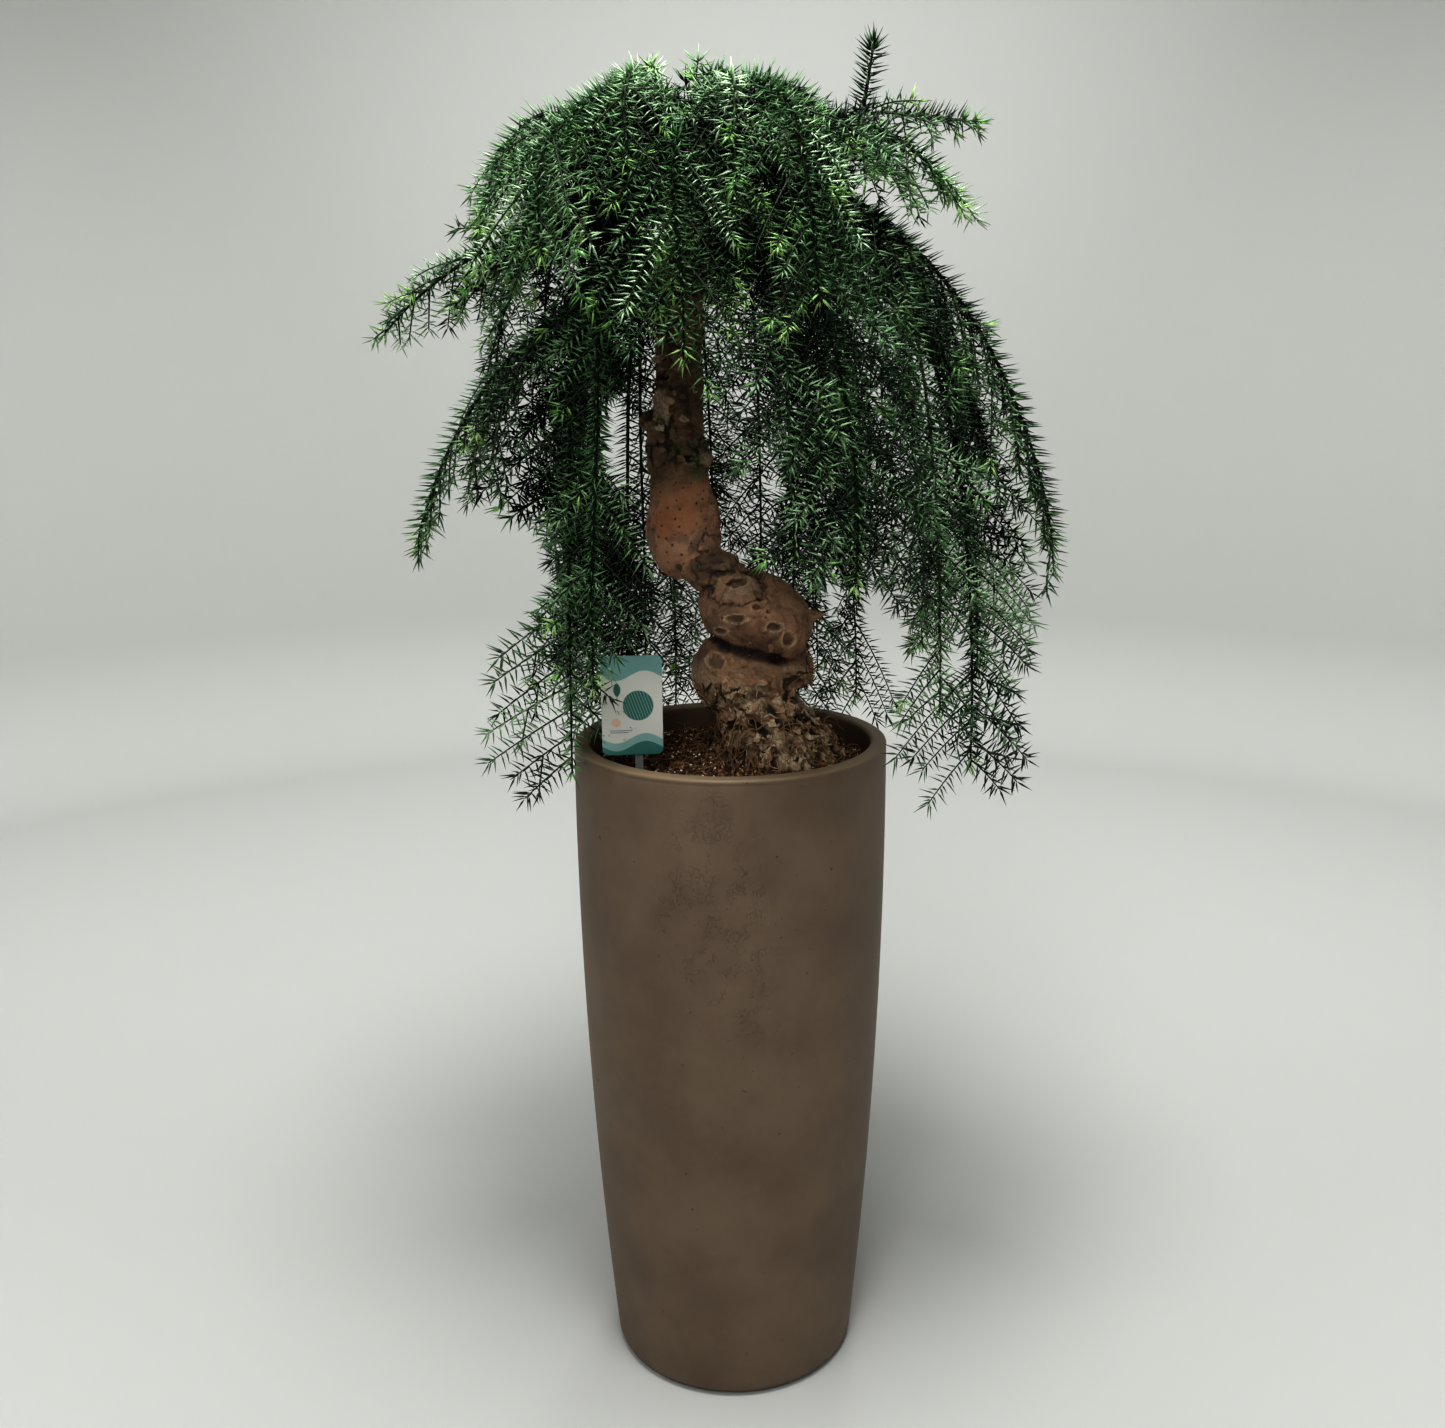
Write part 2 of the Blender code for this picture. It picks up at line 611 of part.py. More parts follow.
def main():
    for obj in list(bpy.data.objects):
        bpy.data.objects.remove(obj)
    rng = random.Random(SEED)
    stone = material("moulded stone composite", "5A4C3F", 0.6)
    earth = material("potting soil", "2E2219", 0.95)
    bark = material("bark", "7A5A42", 0.85)
    twig_bark = material("twig bark", "5C4A34", 0.8)
    paper = material("printed card", "DDE3DC", 0.5)
    clear_plastic = material("clear plastic", "B9BDBB", 0.3)

    add("pot", *pot_mesh(), stone)
    soil = add("soil", *soil_mesh(), earth)
    cut(soil, stake_mesh(CLEAR))
    card, stake = card_mesh(), stake_mesh()
    add("label_card", *card, paper)
    add("label_stake", *stake, clear_plastic)
    trunk = joined("trunk", trunk_pieces(), bark)

    fronds = {name: Frond(*row) for name, row in FRONDS.items()}
    space = Space()
    trunk_faces = [tuple(face.vertices) for face in trunk.data.polygons]
    space.add("trunk", [v.co.copy() for v in trunk.data.vertices], trunk_faces)
    space.add("label_card", *card)
    space.add("label_stake", *stake)
    stems = {}
    for name, frond in fronds.items():
        points, faces = bough_mesh(frond)
        add(name + "_bough", points, faces, twig_bark)
        space.add(name + "_bough", points, faces)
        stems[name] = stem_mesh(frond)
        space.add(name, *stems[name])

    masses = {name: [stems[name]] for name in fronds}
    masses["top_right"] += leader_pieces(fronds["top_right"], space)
    masses["crown_tip"] = tip_pieces(space, rng)
    for name in fronds:
        masses[name] += sprays_of(name, fronds, space, rng)
    for number, (name, pieces) in enumerate(masses.items()):
        green = material(name + " needles", ("3F6B3A", "35603A", "4A7340")[number % 3], 0.6)
        joined(name + "_needles", pieces, green)


main()
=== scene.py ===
"""Looks of the potted weeping hoop pine: bark, twigs, needles, soil, planter and label, in a pale studio."""

import math
import random

import bpy
import numpy as np
from mathutils import Matrix, Vector, noise
from mathutils.bvhtree import BVHTree
from mathutils.kdtree import KDTree


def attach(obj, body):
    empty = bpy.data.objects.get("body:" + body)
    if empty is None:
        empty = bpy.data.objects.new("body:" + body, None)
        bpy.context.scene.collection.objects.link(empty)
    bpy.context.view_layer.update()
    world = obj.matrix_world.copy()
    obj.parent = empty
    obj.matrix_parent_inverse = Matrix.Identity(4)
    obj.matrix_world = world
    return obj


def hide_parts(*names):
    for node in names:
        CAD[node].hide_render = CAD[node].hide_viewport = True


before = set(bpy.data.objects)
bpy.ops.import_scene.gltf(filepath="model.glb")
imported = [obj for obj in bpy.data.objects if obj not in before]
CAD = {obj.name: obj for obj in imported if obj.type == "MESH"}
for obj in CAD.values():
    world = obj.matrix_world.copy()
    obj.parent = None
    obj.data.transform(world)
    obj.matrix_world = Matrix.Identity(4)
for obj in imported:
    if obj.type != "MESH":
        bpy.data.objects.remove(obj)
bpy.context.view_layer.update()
SEED = 7
DOWN = Vector((0, 0, -1))
UP = Vector((0, 0, 1))

# Planter and soil
POT_HEIGHT = 0.700
RIM_RADIUS = 0.163
WAIST_RADIUS = 0.157
FOOT_RADIUS = 0.132
FOOT_ROUND = 0.0145
WALL = 0.0165
FLOOR = 0.018
# The rim's section, outside to inside: how far past the rim's radius, height
RIM_ROWS = (
    (-0.0003, 0.6945), (0.0002, 0.6955), (0.0002, 0.6972), (-0.0004, 0.6988), (-0.0018, 0.6998),
    (-0.0038, POT_HEIGHT), (0.0038 - WALL, POT_HEIGHT), (0.0018 - WALL, 0.6997), (0.0006 - WALL, 0.6985),
    (-WALL, 0.6968),
)
SOIL_TOP = 0.680
SOIL_FALL = 0.009
SOIL_FLAT_RADIUS = 0.118
SOIL_WAVES = ((0.0035, 45), (0.0022, 130), (0.0010, 330))
SOIL_SIDES = 150

# Trunk, as rows of height, centre x, centre y, half width in x, half width in y
FLARE = (
    (0.676, 0.049, -0.010, 0.069, 0.062),
    (0.684, 0.049, -0.010, 0.063, 0.057),
    (0.692, 0.049, -0.010, 0.058, 0.053),
    (0.707, 0.047, -0.009, 0.053, 0.049),
    (0.724, 0.037, -0.008, 0.048, 0.045),
    (0.745, 0.024, -0.007, 0.043, 0.042),
    (0.765, 0.014, -0.006, 0.038, 0.038),
)
UPPER_STEM = (
    (0.915, -0.047, 0.000, 0.024, 0.024),
    (0.950, -0.047, 0.000, 0.033, 0.032),
    (0.969, -0.049, 0.000, 0.030, 0.029),
    (0.990, -0.051, 0.000, 0.031, 0.030),
    (1.012, -0.052, 0.000, 0.027, 0.027),
    (1.040, -0.049, 0.000, 0.024, 0.024),
    (1.060, -0.048, 0.000, 0.024, 0.024),
    (1.085, -0.048, 0.000, 0.0225, 0.0225),
    (1.130, -0.045, 0.000, 0.0215, 0.0215),
    (1.180, -0.040, 0.000, 0.0205, 0.0205),
    (1.225, -0.036, 0.000, 0.0190, 0.0190),
    (1.262, -0.033, 0.000, 0.0160, 0.0160),
    (1.284, -0.031, 0.000, 0.0130, 0.0130),
    (1.304, -0.030, 0.000, 0.0080, 0.0080),
)
BARREL = ((0.014, -0.005, 0.770), (0.053, 0.049, 0.047), 8)
KNOT = ((0.026, -0.012, 0.832), (0.061, 0.052, 0.044), 24)
ELBOW = ((-0.014, -0.002, 0.872), (0.046, 0.040, 0.023), 30)
BULB = ((-0.046, 0.000, 0.922), (0.038, 0.036, 0.055), 4)
# The other swellings: centre, half sizes, lean about Y in degrees
SWELLINGS = (
    ((0.058, -0.006, 0.778), (0.026, 0.028, 0.026), 0),
    ((-0.068, -0.004, 1.025), (0.017, 0.015, 0.014), 0),
    ((-0.040, -0.020, 1.012), (0.012, 0.009, 0.010), 0),
    ((-0.030, -0.006, 0.990), (0.014, 0.017, 0.012), 10),
    ((-0.066, -0.010, 0.985), (0.012, 0.014, 0.013), 0),
    ((0.002, -0.030, 0.872), (0.020, 0.014, 0.012), 20),
    ((0.060, -0.034, 0.806), (0.020, 0.016, 0.018), 0),
    ((0.030, -0.030, 0.716), (0.030, 0.020, 0.030), 30),
)
SNAG_ROOT = Vector((0.050, -0.018, 0.826))
SNAG_TIP = Vector((0.098, -0.026, 0.835))
SNAG_RADIUS = 0.018
TRUNK_TOP = Vector((-0.030, 0.0, 1.304))
SKIN_VOXEL = 0.0016
TONES = ("warm", "pale", "dark", "moss")
# Thick roots: start, end, radii at both
ROOTS = (
    ((0.052, -0.030, 0.752), (0.114, -0.024, SOIL_TOP + 0.002), (0.014, 0.007)),
    ((0.034, -0.046, 0.724), (0.040, -0.084, SOIL_TOP - 0.003), (0.010, 0.005)),
    ((0.060, -0.046, 0.716), (0.078, -0.078, SOIL_TOP - 0.003), (0.009, 0.004)),
    ((0.050, 0.030, 0.720), (0.080, 0.076, SOIL_TOP - 0.002), (0.012, 0.005)),
    ((0.010, 0.030, 0.716), (-0.030, 0.062, SOIL_TOP - 0.002), (0.010, 0.004)),
)
# Tones of scraps of bark, as warm, pale, dark and moss
BROWN = (0.1, 0.15, 0.1, 0.0)
STRAW = (0.0, 0.85, 0.0, 0.0)
RUST = (0.55, 0.1, 0.15, 0.0)
GREY = (0.0, 0.1, 0.25, 0.35)
SOOT = (0.1, 0.0, 0.7, 0.0)
PORE_RING = (0.75, 0.0, 0.25, 0.0)
PORE_MIDDLE = (0.0, 0.0, 0.9, 0.0)
# Where bark peels: centre, spread, how many plates in front and again behind, their size, their tones
PEELING = (
    ((-0.012, -0.045, 0.890), (0.030, 0.02, 0.012), 12, 0.0055, (BROWN, GREY)),
    ((0.010, -0.070, 0.862), (0.030, 0.02, 0.010), 7, 0.0060, (BROWN, RUST)),
    ((-0.050, -0.045, 1.000), (0.028, 0.02, 0.020), 20, 0.0048, (BROWN, GREY, BROWN)),
    ((-0.048, -0.040, 1.060), (0.026, 0.02, 0.040), 16, 0.0055, (BROWN, GREY, STRAW)),
    ((0.030, -0.070, 0.796), (0.044, 0.02, 0.008), 12, 0.0048, (BROWN, RUST)),
    ((0.046, -0.080, 0.740), (0.050, 0.03, 0.026), 70, 0.0050, (STRAW, STRAW, RUST, BROWN)),
    ((0.020, -0.070, 0.775), (0.044, 0.03, 0.012), 22, 0.0050, (STRAW, BROWN, BROWN)),
)
# Swellings with pores: the swelling, how many tries at a pore, how far apart pores stand
PORES = ((BULB, 900, 0.0085), (KNOT, 260, 0.0150))
PORES_LOW, PORES_HIGH = 0.79, 0.968
TORN_STRANDS = 800
# Fine roots that hang from the flare and that lie on the soil, and how far from the middle they may get
HANGING_ROOTS = 220
HANGING_WITHIN = 0.138
LYING_ROOTS = 260
LYING_FROM = 0.135
LYING_WITHIN = 0.139
# Scars in the bark, as seen from the front: x, height, half width, half height, then
# how far the lip rises, how far the middle sinks and how dark the painted shade in that sunken middle is
SCARS = (
    (-0.0642, 1.0700, 0.0062, 0.0058, 0.0010, 0.0080, 1.0),
    (-0.0632, 1.0864, 0.0034, 0.0032, 0.0006, 0.0040, 0.9),
    (0.0080, 0.8617, 0.0115, 0.0062, 0.0024, 0.0055, 1.0),
    (0.0273, 0.8379, 0.0050, 0.0042, 0.0016, 0.0030, 0.9),
    (0.0069, 0.8254, 0.0110, 0.0045, 0.0014, 0.0014, 0.5),
    (0.0405, 0.8327, 0.0030, 0.0026, 0.0010, 0.0018, 0.8),
    (0.0466, 0.8160, 0.0085, 0.0050, 0.0008, 0.0022, 0.7),
    (-0.0093, 0.8128, 0.0070, 0.0042, 0.0006, 0.0012, 0.6),
    (-0.0144, 0.7802, 0.0090, 0.0095, 0.0012, 0.0012, 0.55),
    (0.0832, 0.7052, 0.0110, 0.0080, 0.0004, 0.0090, 1.0),
    (0.0608, 0.8034, 0.0060, 0.0080, 0.0006, 0.0020, 0.6),
    (-0.0390, 0.9890, 0.0060, 0.0050, 0.0010, 0.0040, 0.9),
)
# Raised plates of bark with a sharp edge, ringed by painted shadow: x, height, half width, half height, how
# far they rise, how pale
PLATES = (
    (-0.0655, 1.0405, 0.0105, 0.0190, 0.0022, 0.85),
    (-0.0105, 0.8930, 0.0190, 0.0170, 0.0034, 0.10),
    (0.0060, 0.8570, 0.0250, 0.0150, 0.0026, 0.30),
    (-0.0750, 1.0150, 0.0110, 0.0120, 0.0024, 0.35),
    (-0.0200, 0.9950, 0.0100, 0.0150, 0.0020, 0.45),
    (-0.0480, 1.0850, 0.0080, 0.0120, 0.0014, 0.25),
)

# Each frond: azimuth, height on the trunk, reach, height of its tip, climb, curl,
# turn of its flat side, droop of its side shoots, longest side shoot
FRONDS = {
    "left_spear": (186, 1.190, 0.272, 1.110, 0.12, 1.05, 50, 0.40, 0.100),
    "left_arch": (193, 1.130, 0.244, 0.912, 0.08, 1.20, 0, 1.30, 0.105),
    "left_fan": (216, 1.150, 0.118, 0.684, 0.25, 3.20, -60, 0.10, 0.102),
    "front_left_fan": (240, 1.165, 0.146, 0.785, 0.20, 2.80, -25, 0.30, 0.075),
    "left_crest": (199, 1.255, 0.182, 1.224, 0.26, 1.30, 0, 0.55, 0.090),
    "front_left_crest": (238, 1.262, 0.222, 1.171, 0.33, 1.60, 0, 0.60, 0.090),
    "front_crest": (268, 1.226, 0.205, 1.085, 0.30, 1.80, 0, 0.70, 0.090),
    "front_right_crest": (296, 1.262, 0.228, 1.132, 0.34, 1.60, 0, 0.60, 0.090),
    "front_right_fan": (303, 1.180, 0.240, 0.890, 0.22, 2.00, 20, 0.45, 0.098),
    "right_front_fan": (342, 1.185, 0.270, 0.690, 0.28, 2.00, 55, 0.30, 0.108),
    "right_arch": (352, 1.225, 0.338, 0.905, 0.15, 1.30, 0, 1.30, 0.108),
    "left_top": (204, 1.290, 0.115, 1.285, 0.27, 1.30, 0, 0.30, 0.080),
    "right_top": (322, 1.290, 0.130, 1.270, 0.24, 1.30, 0, 0.30, 0.080),
    "right_crest": (332, 1.250, 0.236, 1.236, 0.19, 1.15, 0, 0.50, 0.095),
    "top_right": (6, 1.266, 0.262, 1.306, 0.14, 1.05, 0, 0.30, 0.082),
    "right_back_fan": (20, 1.190, 0.318, 0.740, 0.22, 1.80, -60, 0.35, 0.098),
    "back_right_arch": (50, 1.225, 0.270, 0.690, 0.20, 1.50, 0, 0.80, 0.100),
    "back_right_fan": (60, 1.170, 0.225, 0.672, 0.25, 2.20, -20, 0.35, 0.095),
    "back_fan": (96, 1.190, 0.262, 0.668, 0.24, 2.00, 0, 0.40, 0.100),
    "back_crest": (78, 1.262, 0.235, 1.180, 0.34, 1.50, 0, 0.60, 0.090),
    "back_left_fan": (112, 1.160, 0.185, 0.672, 0.24, 2.20, 20, 0.35, 0.098),
    "back_left_arch": (142, 1.215, 0.290, 0.960, 0.20, 1.55, 0, 0.60, 0.090),
    "left_back_fan": (150, 1.150, 0.135, 0.740, 0.22, 2.40, 65, 0.35, 0.090),
    "back_left_crest": (136, 1.262, 0.225, 1.190, 0.32, 1.40, 0, 0.60, 0.090),
}
BOUGH_SHARE = 0.17
BOUGH_MOST = 0.085
BOUGH_RADII = (0.0068, 0.0036)
STEM_RADII = (0.0027, 0.0010)
FORK_RADII = (0.0021, 0.0009)
SHOOT_SCALE = 1.12
SHOOT_ANGLE = 56
LEADER_AT = 0.58
LEADER_LENGTH = 0.062
SHOOT_STEP = 0.0250
SHOOT_RADII = (0.0010, 0.0006)
LEADER_RADII = (0.0022, 0.0009)
LEADER_HEADING = Vector((0.16, -0.02, 1.0)).normalized()
# How much farther apart the side shoots of the low fronds at the back stand
BACK_SPREAD = 1.3
LEAST_SHOOT = 0.012
LEAST_FORKED = 0.066
STEM_POINTS = 35
FROND_STEPS = 80
HIGH_TIP = 1.0
FRONDS_IN_PIECE = 3
# Lesser fronds: where they leave as a share of the length, degrees to one side, length as a part
OPEN_FORKS = ((0.12, 14, 0.70), (0.12, -14, 0.70))
LOW_FORKS = ((0.10, 18, 0.94), (0.14, -18, 0.86))
HIGH_FORKS = ((0.05, 44, 0.50), (0.05, -44, 0.50))
FRONT_FORKS = ((0.20, -24, 0.76), (0.24, 24, 0.70))
# Greens by number, from the darkest up, as often as they are dealt to high and to low fronds; the low fronds
# get more dark ones as painted shade
HIGH_TINTS = (0, 1, 1, 2, 2, 3)
LOW_TINTS = (0, 0, 1, 1, 2, 2)
CROWN_TIP_SHOOTS = 26
CROWN_TIP_TURN = 2.4
STUBS = 12
# The crown's upper edge from left to right, as x and height, and its fall to front and back
CROWN_EDGE = (
    (-0.360, 1.118), (-0.293, 1.196), (-0.269, 1.240), (-0.222, 1.322), (-0.185, 1.324), (-0.148, 1.314),
    (-0.114, 1.330), (-0.075, 1.360), (-0.046, 1.368), (-0.017, 1.358), (0.050, 1.338), (0.120, 1.338),
    (0.250, 1.320), (0.360, 1.230),
)
CROWN_FALL = 0.30
REACH_LOW = Vector((-0.358, -0.241, 0.655))
REACH_HIGH = Vector((0.345, 0.293, 1.38))
# Fronds with few lesser ones, and how far their upper side shoots reach
OPEN_FRONDS = {
    "left_arch": 0.5, "left_spear": 1.0, "left_back_fan": 0.5, "back_left_arch": 0.6, "left_fan": 1.0,
    "front_left_fan": 0.8, "right_arch": 0.6, "back_left_crest": 0.8,
}
# How much shorter the side shoots get towards the tips of the slender fronds
TAPER = {"left_spear": 0.65, "top_right": 0.45, "left_arch": 0.2, "right_arch": 0.1}
# Gaps between the masses that open to the sky, as seen from the front: x, height, half width, half height
OPENINGS = (
    (-0.108, 1.010, 0.020, 0.044), (-0.222, 0.878, 0.040, 0.050), (0.050, 0.960, 0.008, 0.012),
    (0.176, 0.788, 0.010, 0.050), (0.204, 1.070, 0.009, 0.016), (0.010, 1.046, 0.007, 0.012),
    (-0.262, 1.086, 0.022, 0.014), (0.150, 0.826, 0.012, 0.030), (0.236, 0.790, 0.008, 0.030),
    (0.106, 0.850, 0.008, 0.020),
)
# The label as seen from the front, kept clear of twigs in front of it
OPEN_CARD = (-0.092, 0.750, 0.024, 0.048)
# The trunk as seen from the front, kept clear of twigs: height, centre and half width
OPEN_FRONT = (
    (1.102, -0.054, 0.020), (1.06, -0.067, 0.033), (1.02, -0.060, 0.038), (0.96, -0.056, 0.050),
    (0.92, -0.048, 0.052), (0.87, -0.010, 0.060), (0.83, 0.030, 0.090), (0.77, 0.022, 0.074),
    (0.69, 0.040, 0.100),
)

# Needles
NEEDLE_STEP = 0.0028
NEEDLE_LENGTH = 0.0190
NEEDLE_WIDTH = 0.0025
NEEDLE_ANGLE = 72
TUFT = 0.006
CARRIED = ("thick", "size", "tip", "tint", "fresh")
TUFTS = 2
# A shoot with more than the least number of others outside it, within the reach and width,
# gets the deepest green as painted shade, the likelier the more there are
COVER_LEAST = 2
COVER_SHARE = 0.22
COVER_REACH = 0.080
COVER_WIDTH = 0.030
LONGEST_RUN = 29
# The number of the near-black green, painted shade for covered shoots
DEEPEST = 4

# Crumbs on the soil: name, colour, proportions, number to a square metre, smallest and largest size
CRUMBS = (
    ("dark bark chip", "432F20", (1.0, 0.7, 0.5), 50000.0, 0.0022, 0.0062),
    ("brown bark chip", "7C583A", (1.3, 0.6, 0.4), 26000.0, 0.0022, 0.0070),
    ("dry bark chip", "B08860", (1.5, 0.5, 0.3), 9000.0, 0.0020, 0.0060),
    ("perlite", "F2ECDE", (0.9, 0.85, 0.8), 8000.0, 0.0018, 0.0044),
)

# Label
CARD_SIZE = (0.060, 0.0012, 0.100)
CARD_ROUND = 0.006
CARD_CENTRE = Vector((-0.0965, -0.0900, 0.7560))
CARD_TURN = 4

# The round stage
STAGE_RADIUS = 2.9
STAGE_SWEEP = 0.35
# Soft round lamps: name, place, aim, size, watts
LAMPS = (
    ("top_light", (0.0, -0.60, 2.75), (0, 0.0, 0.6), 0.8, 43),
    ("front_light", (-0.4, -2.3, 2.9), (0, 0.0, 0.8), 0.9, 27),
    ("back_light", (0.5, 2.3, 2.9), (0, 0.0, 0.8), 0.9, 12),
)
# Lamps in a ring that light the wall's foot: number, ring's radius, height, size, watts, spread in degrees
WALL_LAMPS = (5, 0.9, 3.3, 0.7, 13, 90)

# Camera, fitted to the planter's rim, sides and foot
CAMERA_PLACE = Vector((-0.0078, -1.4697, 1.0843))
CAMERA_PITCH = 13.75
CAMERA_ROLL = -0.49
CAMERA_LENS = 36.02


# Colour and material helpers
def linear(code):
    """A colour written as sRGB hex, as linear red, green, blue and alpha."""
    parts = [int(code[i : i + 2], 16) / 255 for i in (0, 2, 4)]
    return tuple(c / 12.92 if c <= 0.04045 else ((c + 0.055) / 1.055) ** 2.4 for c in parts) + (1.0,)


def put(tree, kind, settings=None, **links):
    """Adds a node, sets its properties, and sets or links its inputs by name or number."""
    made = tree.nodes.new(kind)
    for key, value in (settings or {}).items():
        setattr(made, key, value)
    for key, value in links.items():
        key = int(key[1:]) if key[0] == "i" and key[1:].isdigit() else key.replace("_", " ")
        if isinstance(value, bpy.types.NodeSocket):
            tree.links.new(value, made.inputs[key])
        else:
            made.inputs[key].default_value = value
    return made


def surface(name, code, roughness, **more):
    """A material of one colour; the tree and its shader come back too."""
    made = bpy.data.materials.new(name)
    made.use_nodes = True
    shader = made.node_tree.nodes["Principled BSDF"]
    shader.inputs["Base Color"].default_value = linear(code)
    shader.inputs["Roughness"].default_value = roughness
    for key, value in more.items():
        shader.inputs[key.replace("_", " ")].default_value = value
    return made, made.node_tree, shader


def maths(operation, *values):
    """One step of arithmetic in the tree that the values, sockets or plain numbers, belong to."""
    tree = next(value for value in values if isinstance(value, bpy.types.NodeSocket)).id_data
    links = {"i%d" % slot: value for slot, value in enumerate(values)}
    return put(tree, "ShaderNodeMath", {"operation": operation}, **links).outputs[0]


def times(*values):
    return maths("MULTIPLY", *values)


def plus(*values):
    return maths("ADD", *values)


def minus(*values):
    return maths("SUBTRACT", *values)


def ramp(value, low, high):
    """The value brought from low..high to 0..1, with soft ends."""
    soft = {"interpolation_type": "SMOOTHSTEP"}
    made = put(value.id_data, "ShaderNodeMapRange", soft, Value=value, From_Min=low, From_Max=high)
    return made.outputs["Result"]


def blend(share, first, second):
    """Mixes two colours, each a hex code or a socket."""
    first, second = (linear(code) if isinstance(code, str) else code for code in (first, second))
    made = put(share.id_data, "ShaderNodeMix", {"data_type": "RGBA"}, i0=share, i6=first, i7=second)
    return made.outputs[2]


def dab(base, code, value, low, high, share):
    """Another colour laid over the base where the value lies above low, in full from high on."""
    return blend(times(ramp(value, low, high), share), base, code)


def noise_of(tree, scale, detail=3.0, roughness=0.55, stretch=(1, 1, 1)):
    """Noise in the object's own space, with the scale in cycles a metre."""
    place = put(tree, "ShaderNodeTexCoord").outputs["Object"]
    place = put(tree, "ShaderNodeMapping", None, Vector=place, Scale=stretch).outputs[0]
    links = {"Vector": place, "Scale": scale, "Detail": detail, "Roughness": roughness}
    return put(tree, "ShaderNodeTexNoise", None, **links).outputs["Fac"]


def attribute(tree, name):
    return put(tree, "ShaderNodeAttribute", {"attribute_name": name}).outputs["Fac"]


def bump(tree, shader, height, depth):
    made = put(tree, "ShaderNodeBump", None, Height=height, Distance=depth, Strength=1.0)
    tree.links.new(made.outputs[0], shader.inputs["Normal"])


# Mesh helpers
def placed(name, data):
    made = bpy.data.objects.new(name, data)
    bpy.context.scene.collection.objects.link(made)
    return made


def mesh_object(name, points, faces, look=None, smooth=False):
    mesh = bpy.data.meshes.new(name)
    mesh.from_pydata([tuple(p) for p in points], [], faces)
    mesh.update()
    if look is not None:
        mesh.materials.append(look)
    if smooth:
        mesh.polygons.foreach_set("use_smooth", [True] * len(mesh.polygons))
    return placed(name, mesh)


def tree_over(mesh):
    """A search tree over a mesh's faces."""
    faces = [tuple(face.vertices) for face in mesh.polygons]
    return BVHTree.FromPolygons([v.co.copy() for v in mesh.vertices], faces)


def compass(angle):
    """The level direction at an angle from +X."""
    return Vector((math.cos(angle), math.sin(angle), 0))


def scattered(rng, spread):
    return Vector(rng.gauss(0, spread) for _ in range(3))


def seen(point):
    """Where a point stands in the plane y = 0 as seen from the front."""
    return CAMERA_PLACE.lerp(point, CAMERA_PLACE.y / (CAMERA_PLACE.y - point.y))


def gather(pieces):
    """Several (points, faces) as one."""
    points, faces = [], []
    for more_points, more_faces in pieces:
        first = len(points)
        points.extend(more_points)
        faces.extend([tuple(i + first for i in face) for face in more_faces])
    return points, faces


def plain(obj):
    """The evaluated shape of an object as a mesh of its own, with the modifiers gone."""
    graph = bpy.context.evaluated_depsgraph_get()
    mesh = bpy.data.meshes.new_from_object(obj.evaluated_get(graph))
    obj.modifiers.clear()
    obj.data = mesh
    return obj


def spun(profile, sides):
    """A profile of (radius, height) points turned about Z; a radius of 0 is a point on the axis."""
    points, rings = [], []
    for radius, height in profile:
        if radius == 0:
            rings.append([len(points)])
            points.append((0, 0, height))
            continue
        rings.append(list(range(len(points), len(points) + sides)))
        for k in range(sides):
            a = 2 * math.pi * k / sides
            points.append((radius * math.cos(a), radius * math.sin(a), height))
    faces = []
    for low, high in zip(rings, rings[1:]):
        for k in range(sides):
            n = (k + 1) % sides
            if len(low) == 1:
                faces.append((low[0], high[n], high[k]))
            elif len(high) == 1:
                faces.append((low[k], low[n], high[0]))
            else:
                faces.append((low[k], low[n], high[n], high[k]))
    return points, faces


def tube(rings):
    sides = len(rings[0])
    points = [p for ring in rings for p in ring]
    faces = [tuple(range(sides))[::-1]]
    for r in range(len(rings) - 1):
        for k in range(sides):
            n = (k + 1) % sides
            faces.append((r * sides + k, r * sides + n, (r + 1) * sides + n, (r + 1) * sides + k))
    last = (len(rings) - 1) * sides
    faces.append(tuple(last + k for k in range(sides)))
    return points, faces


def round_ring(centre, onward, across, radius, sides, phase=0.0):
    up = onward.cross(across)
    turns = [phase + 2 * math.pi * k / sides for k in range(sides)]
    return [centre + (across * math.cos(a) + up * math.sin(a)) * radius for a in turns]


def limb_tube(points, radii, sides):
    """A tube along points, its rings kept from twisting."""
    onward = (points[1] - points[0]).normalized()
    across = onward.cross(UP if abs(onward.z) < 0.9 else Vector((1, 0, 0))).normalized()
    rings = []
    for i, point in enumerate(points):
        onward = (points[min(i + 1, len(points) - 1)] - points[max(i - 1, 0)]).normalized()
        across = (across - onward * across.dot(onward)).normalized()
        rings.append(round_ring(point, onward, across, radii[i], sides))
    return tube(rings)


def ellipsoid(centre, halves, lean, sides=40, levels=24):
    profile = [(math.sin(math.pi * i / levels), -math.cos(math.pi * i / levels)) for i in range(levels + 1)]
    profile[0] = (0, -1)
    profile[-1] = (0, 1)
    points, faces = spun(profile, sides)
    turn = Matrix.Rotation(math.radians(lean), 3, "Y")
    return [Vector(centre) + turn @ Vector(p[i] * halves[i] for i in range(3)) for p in points], faces


def depth_in(point, blob):
    """How far out a point is in a leaning ellipsoid: 0 at its centre and 1 on its skin."""
    centre, halves, lean = blob
    local = Matrix.Rotation(-math.radians(lean), 3, "Y") @ (point - Vector(centre))
    return math.sqrt(sum((local[i] / halves[i]) ** 2 for i in range(3)))


# Fronds
def trunk_row(height):
    for below, above in zip(UPPER_STEM, UPPER_STEM[1:]):
        if height <= above[0]:
            break
    share = (height - below[0]) / (above[0] - below[0])
    return [below[i] + (above[i] - below[i]) * share for i in (1, 2, 3, 4)]


def trunk_point(azimuth, height):
    """The point of the upper stem's skin in a direction at a height."""
    x, y, half_x, half_y = trunk_row(height)
    return Vector((x + half_x * math.cos(azimuth), y + half_y * math.sin(azimuth), height))


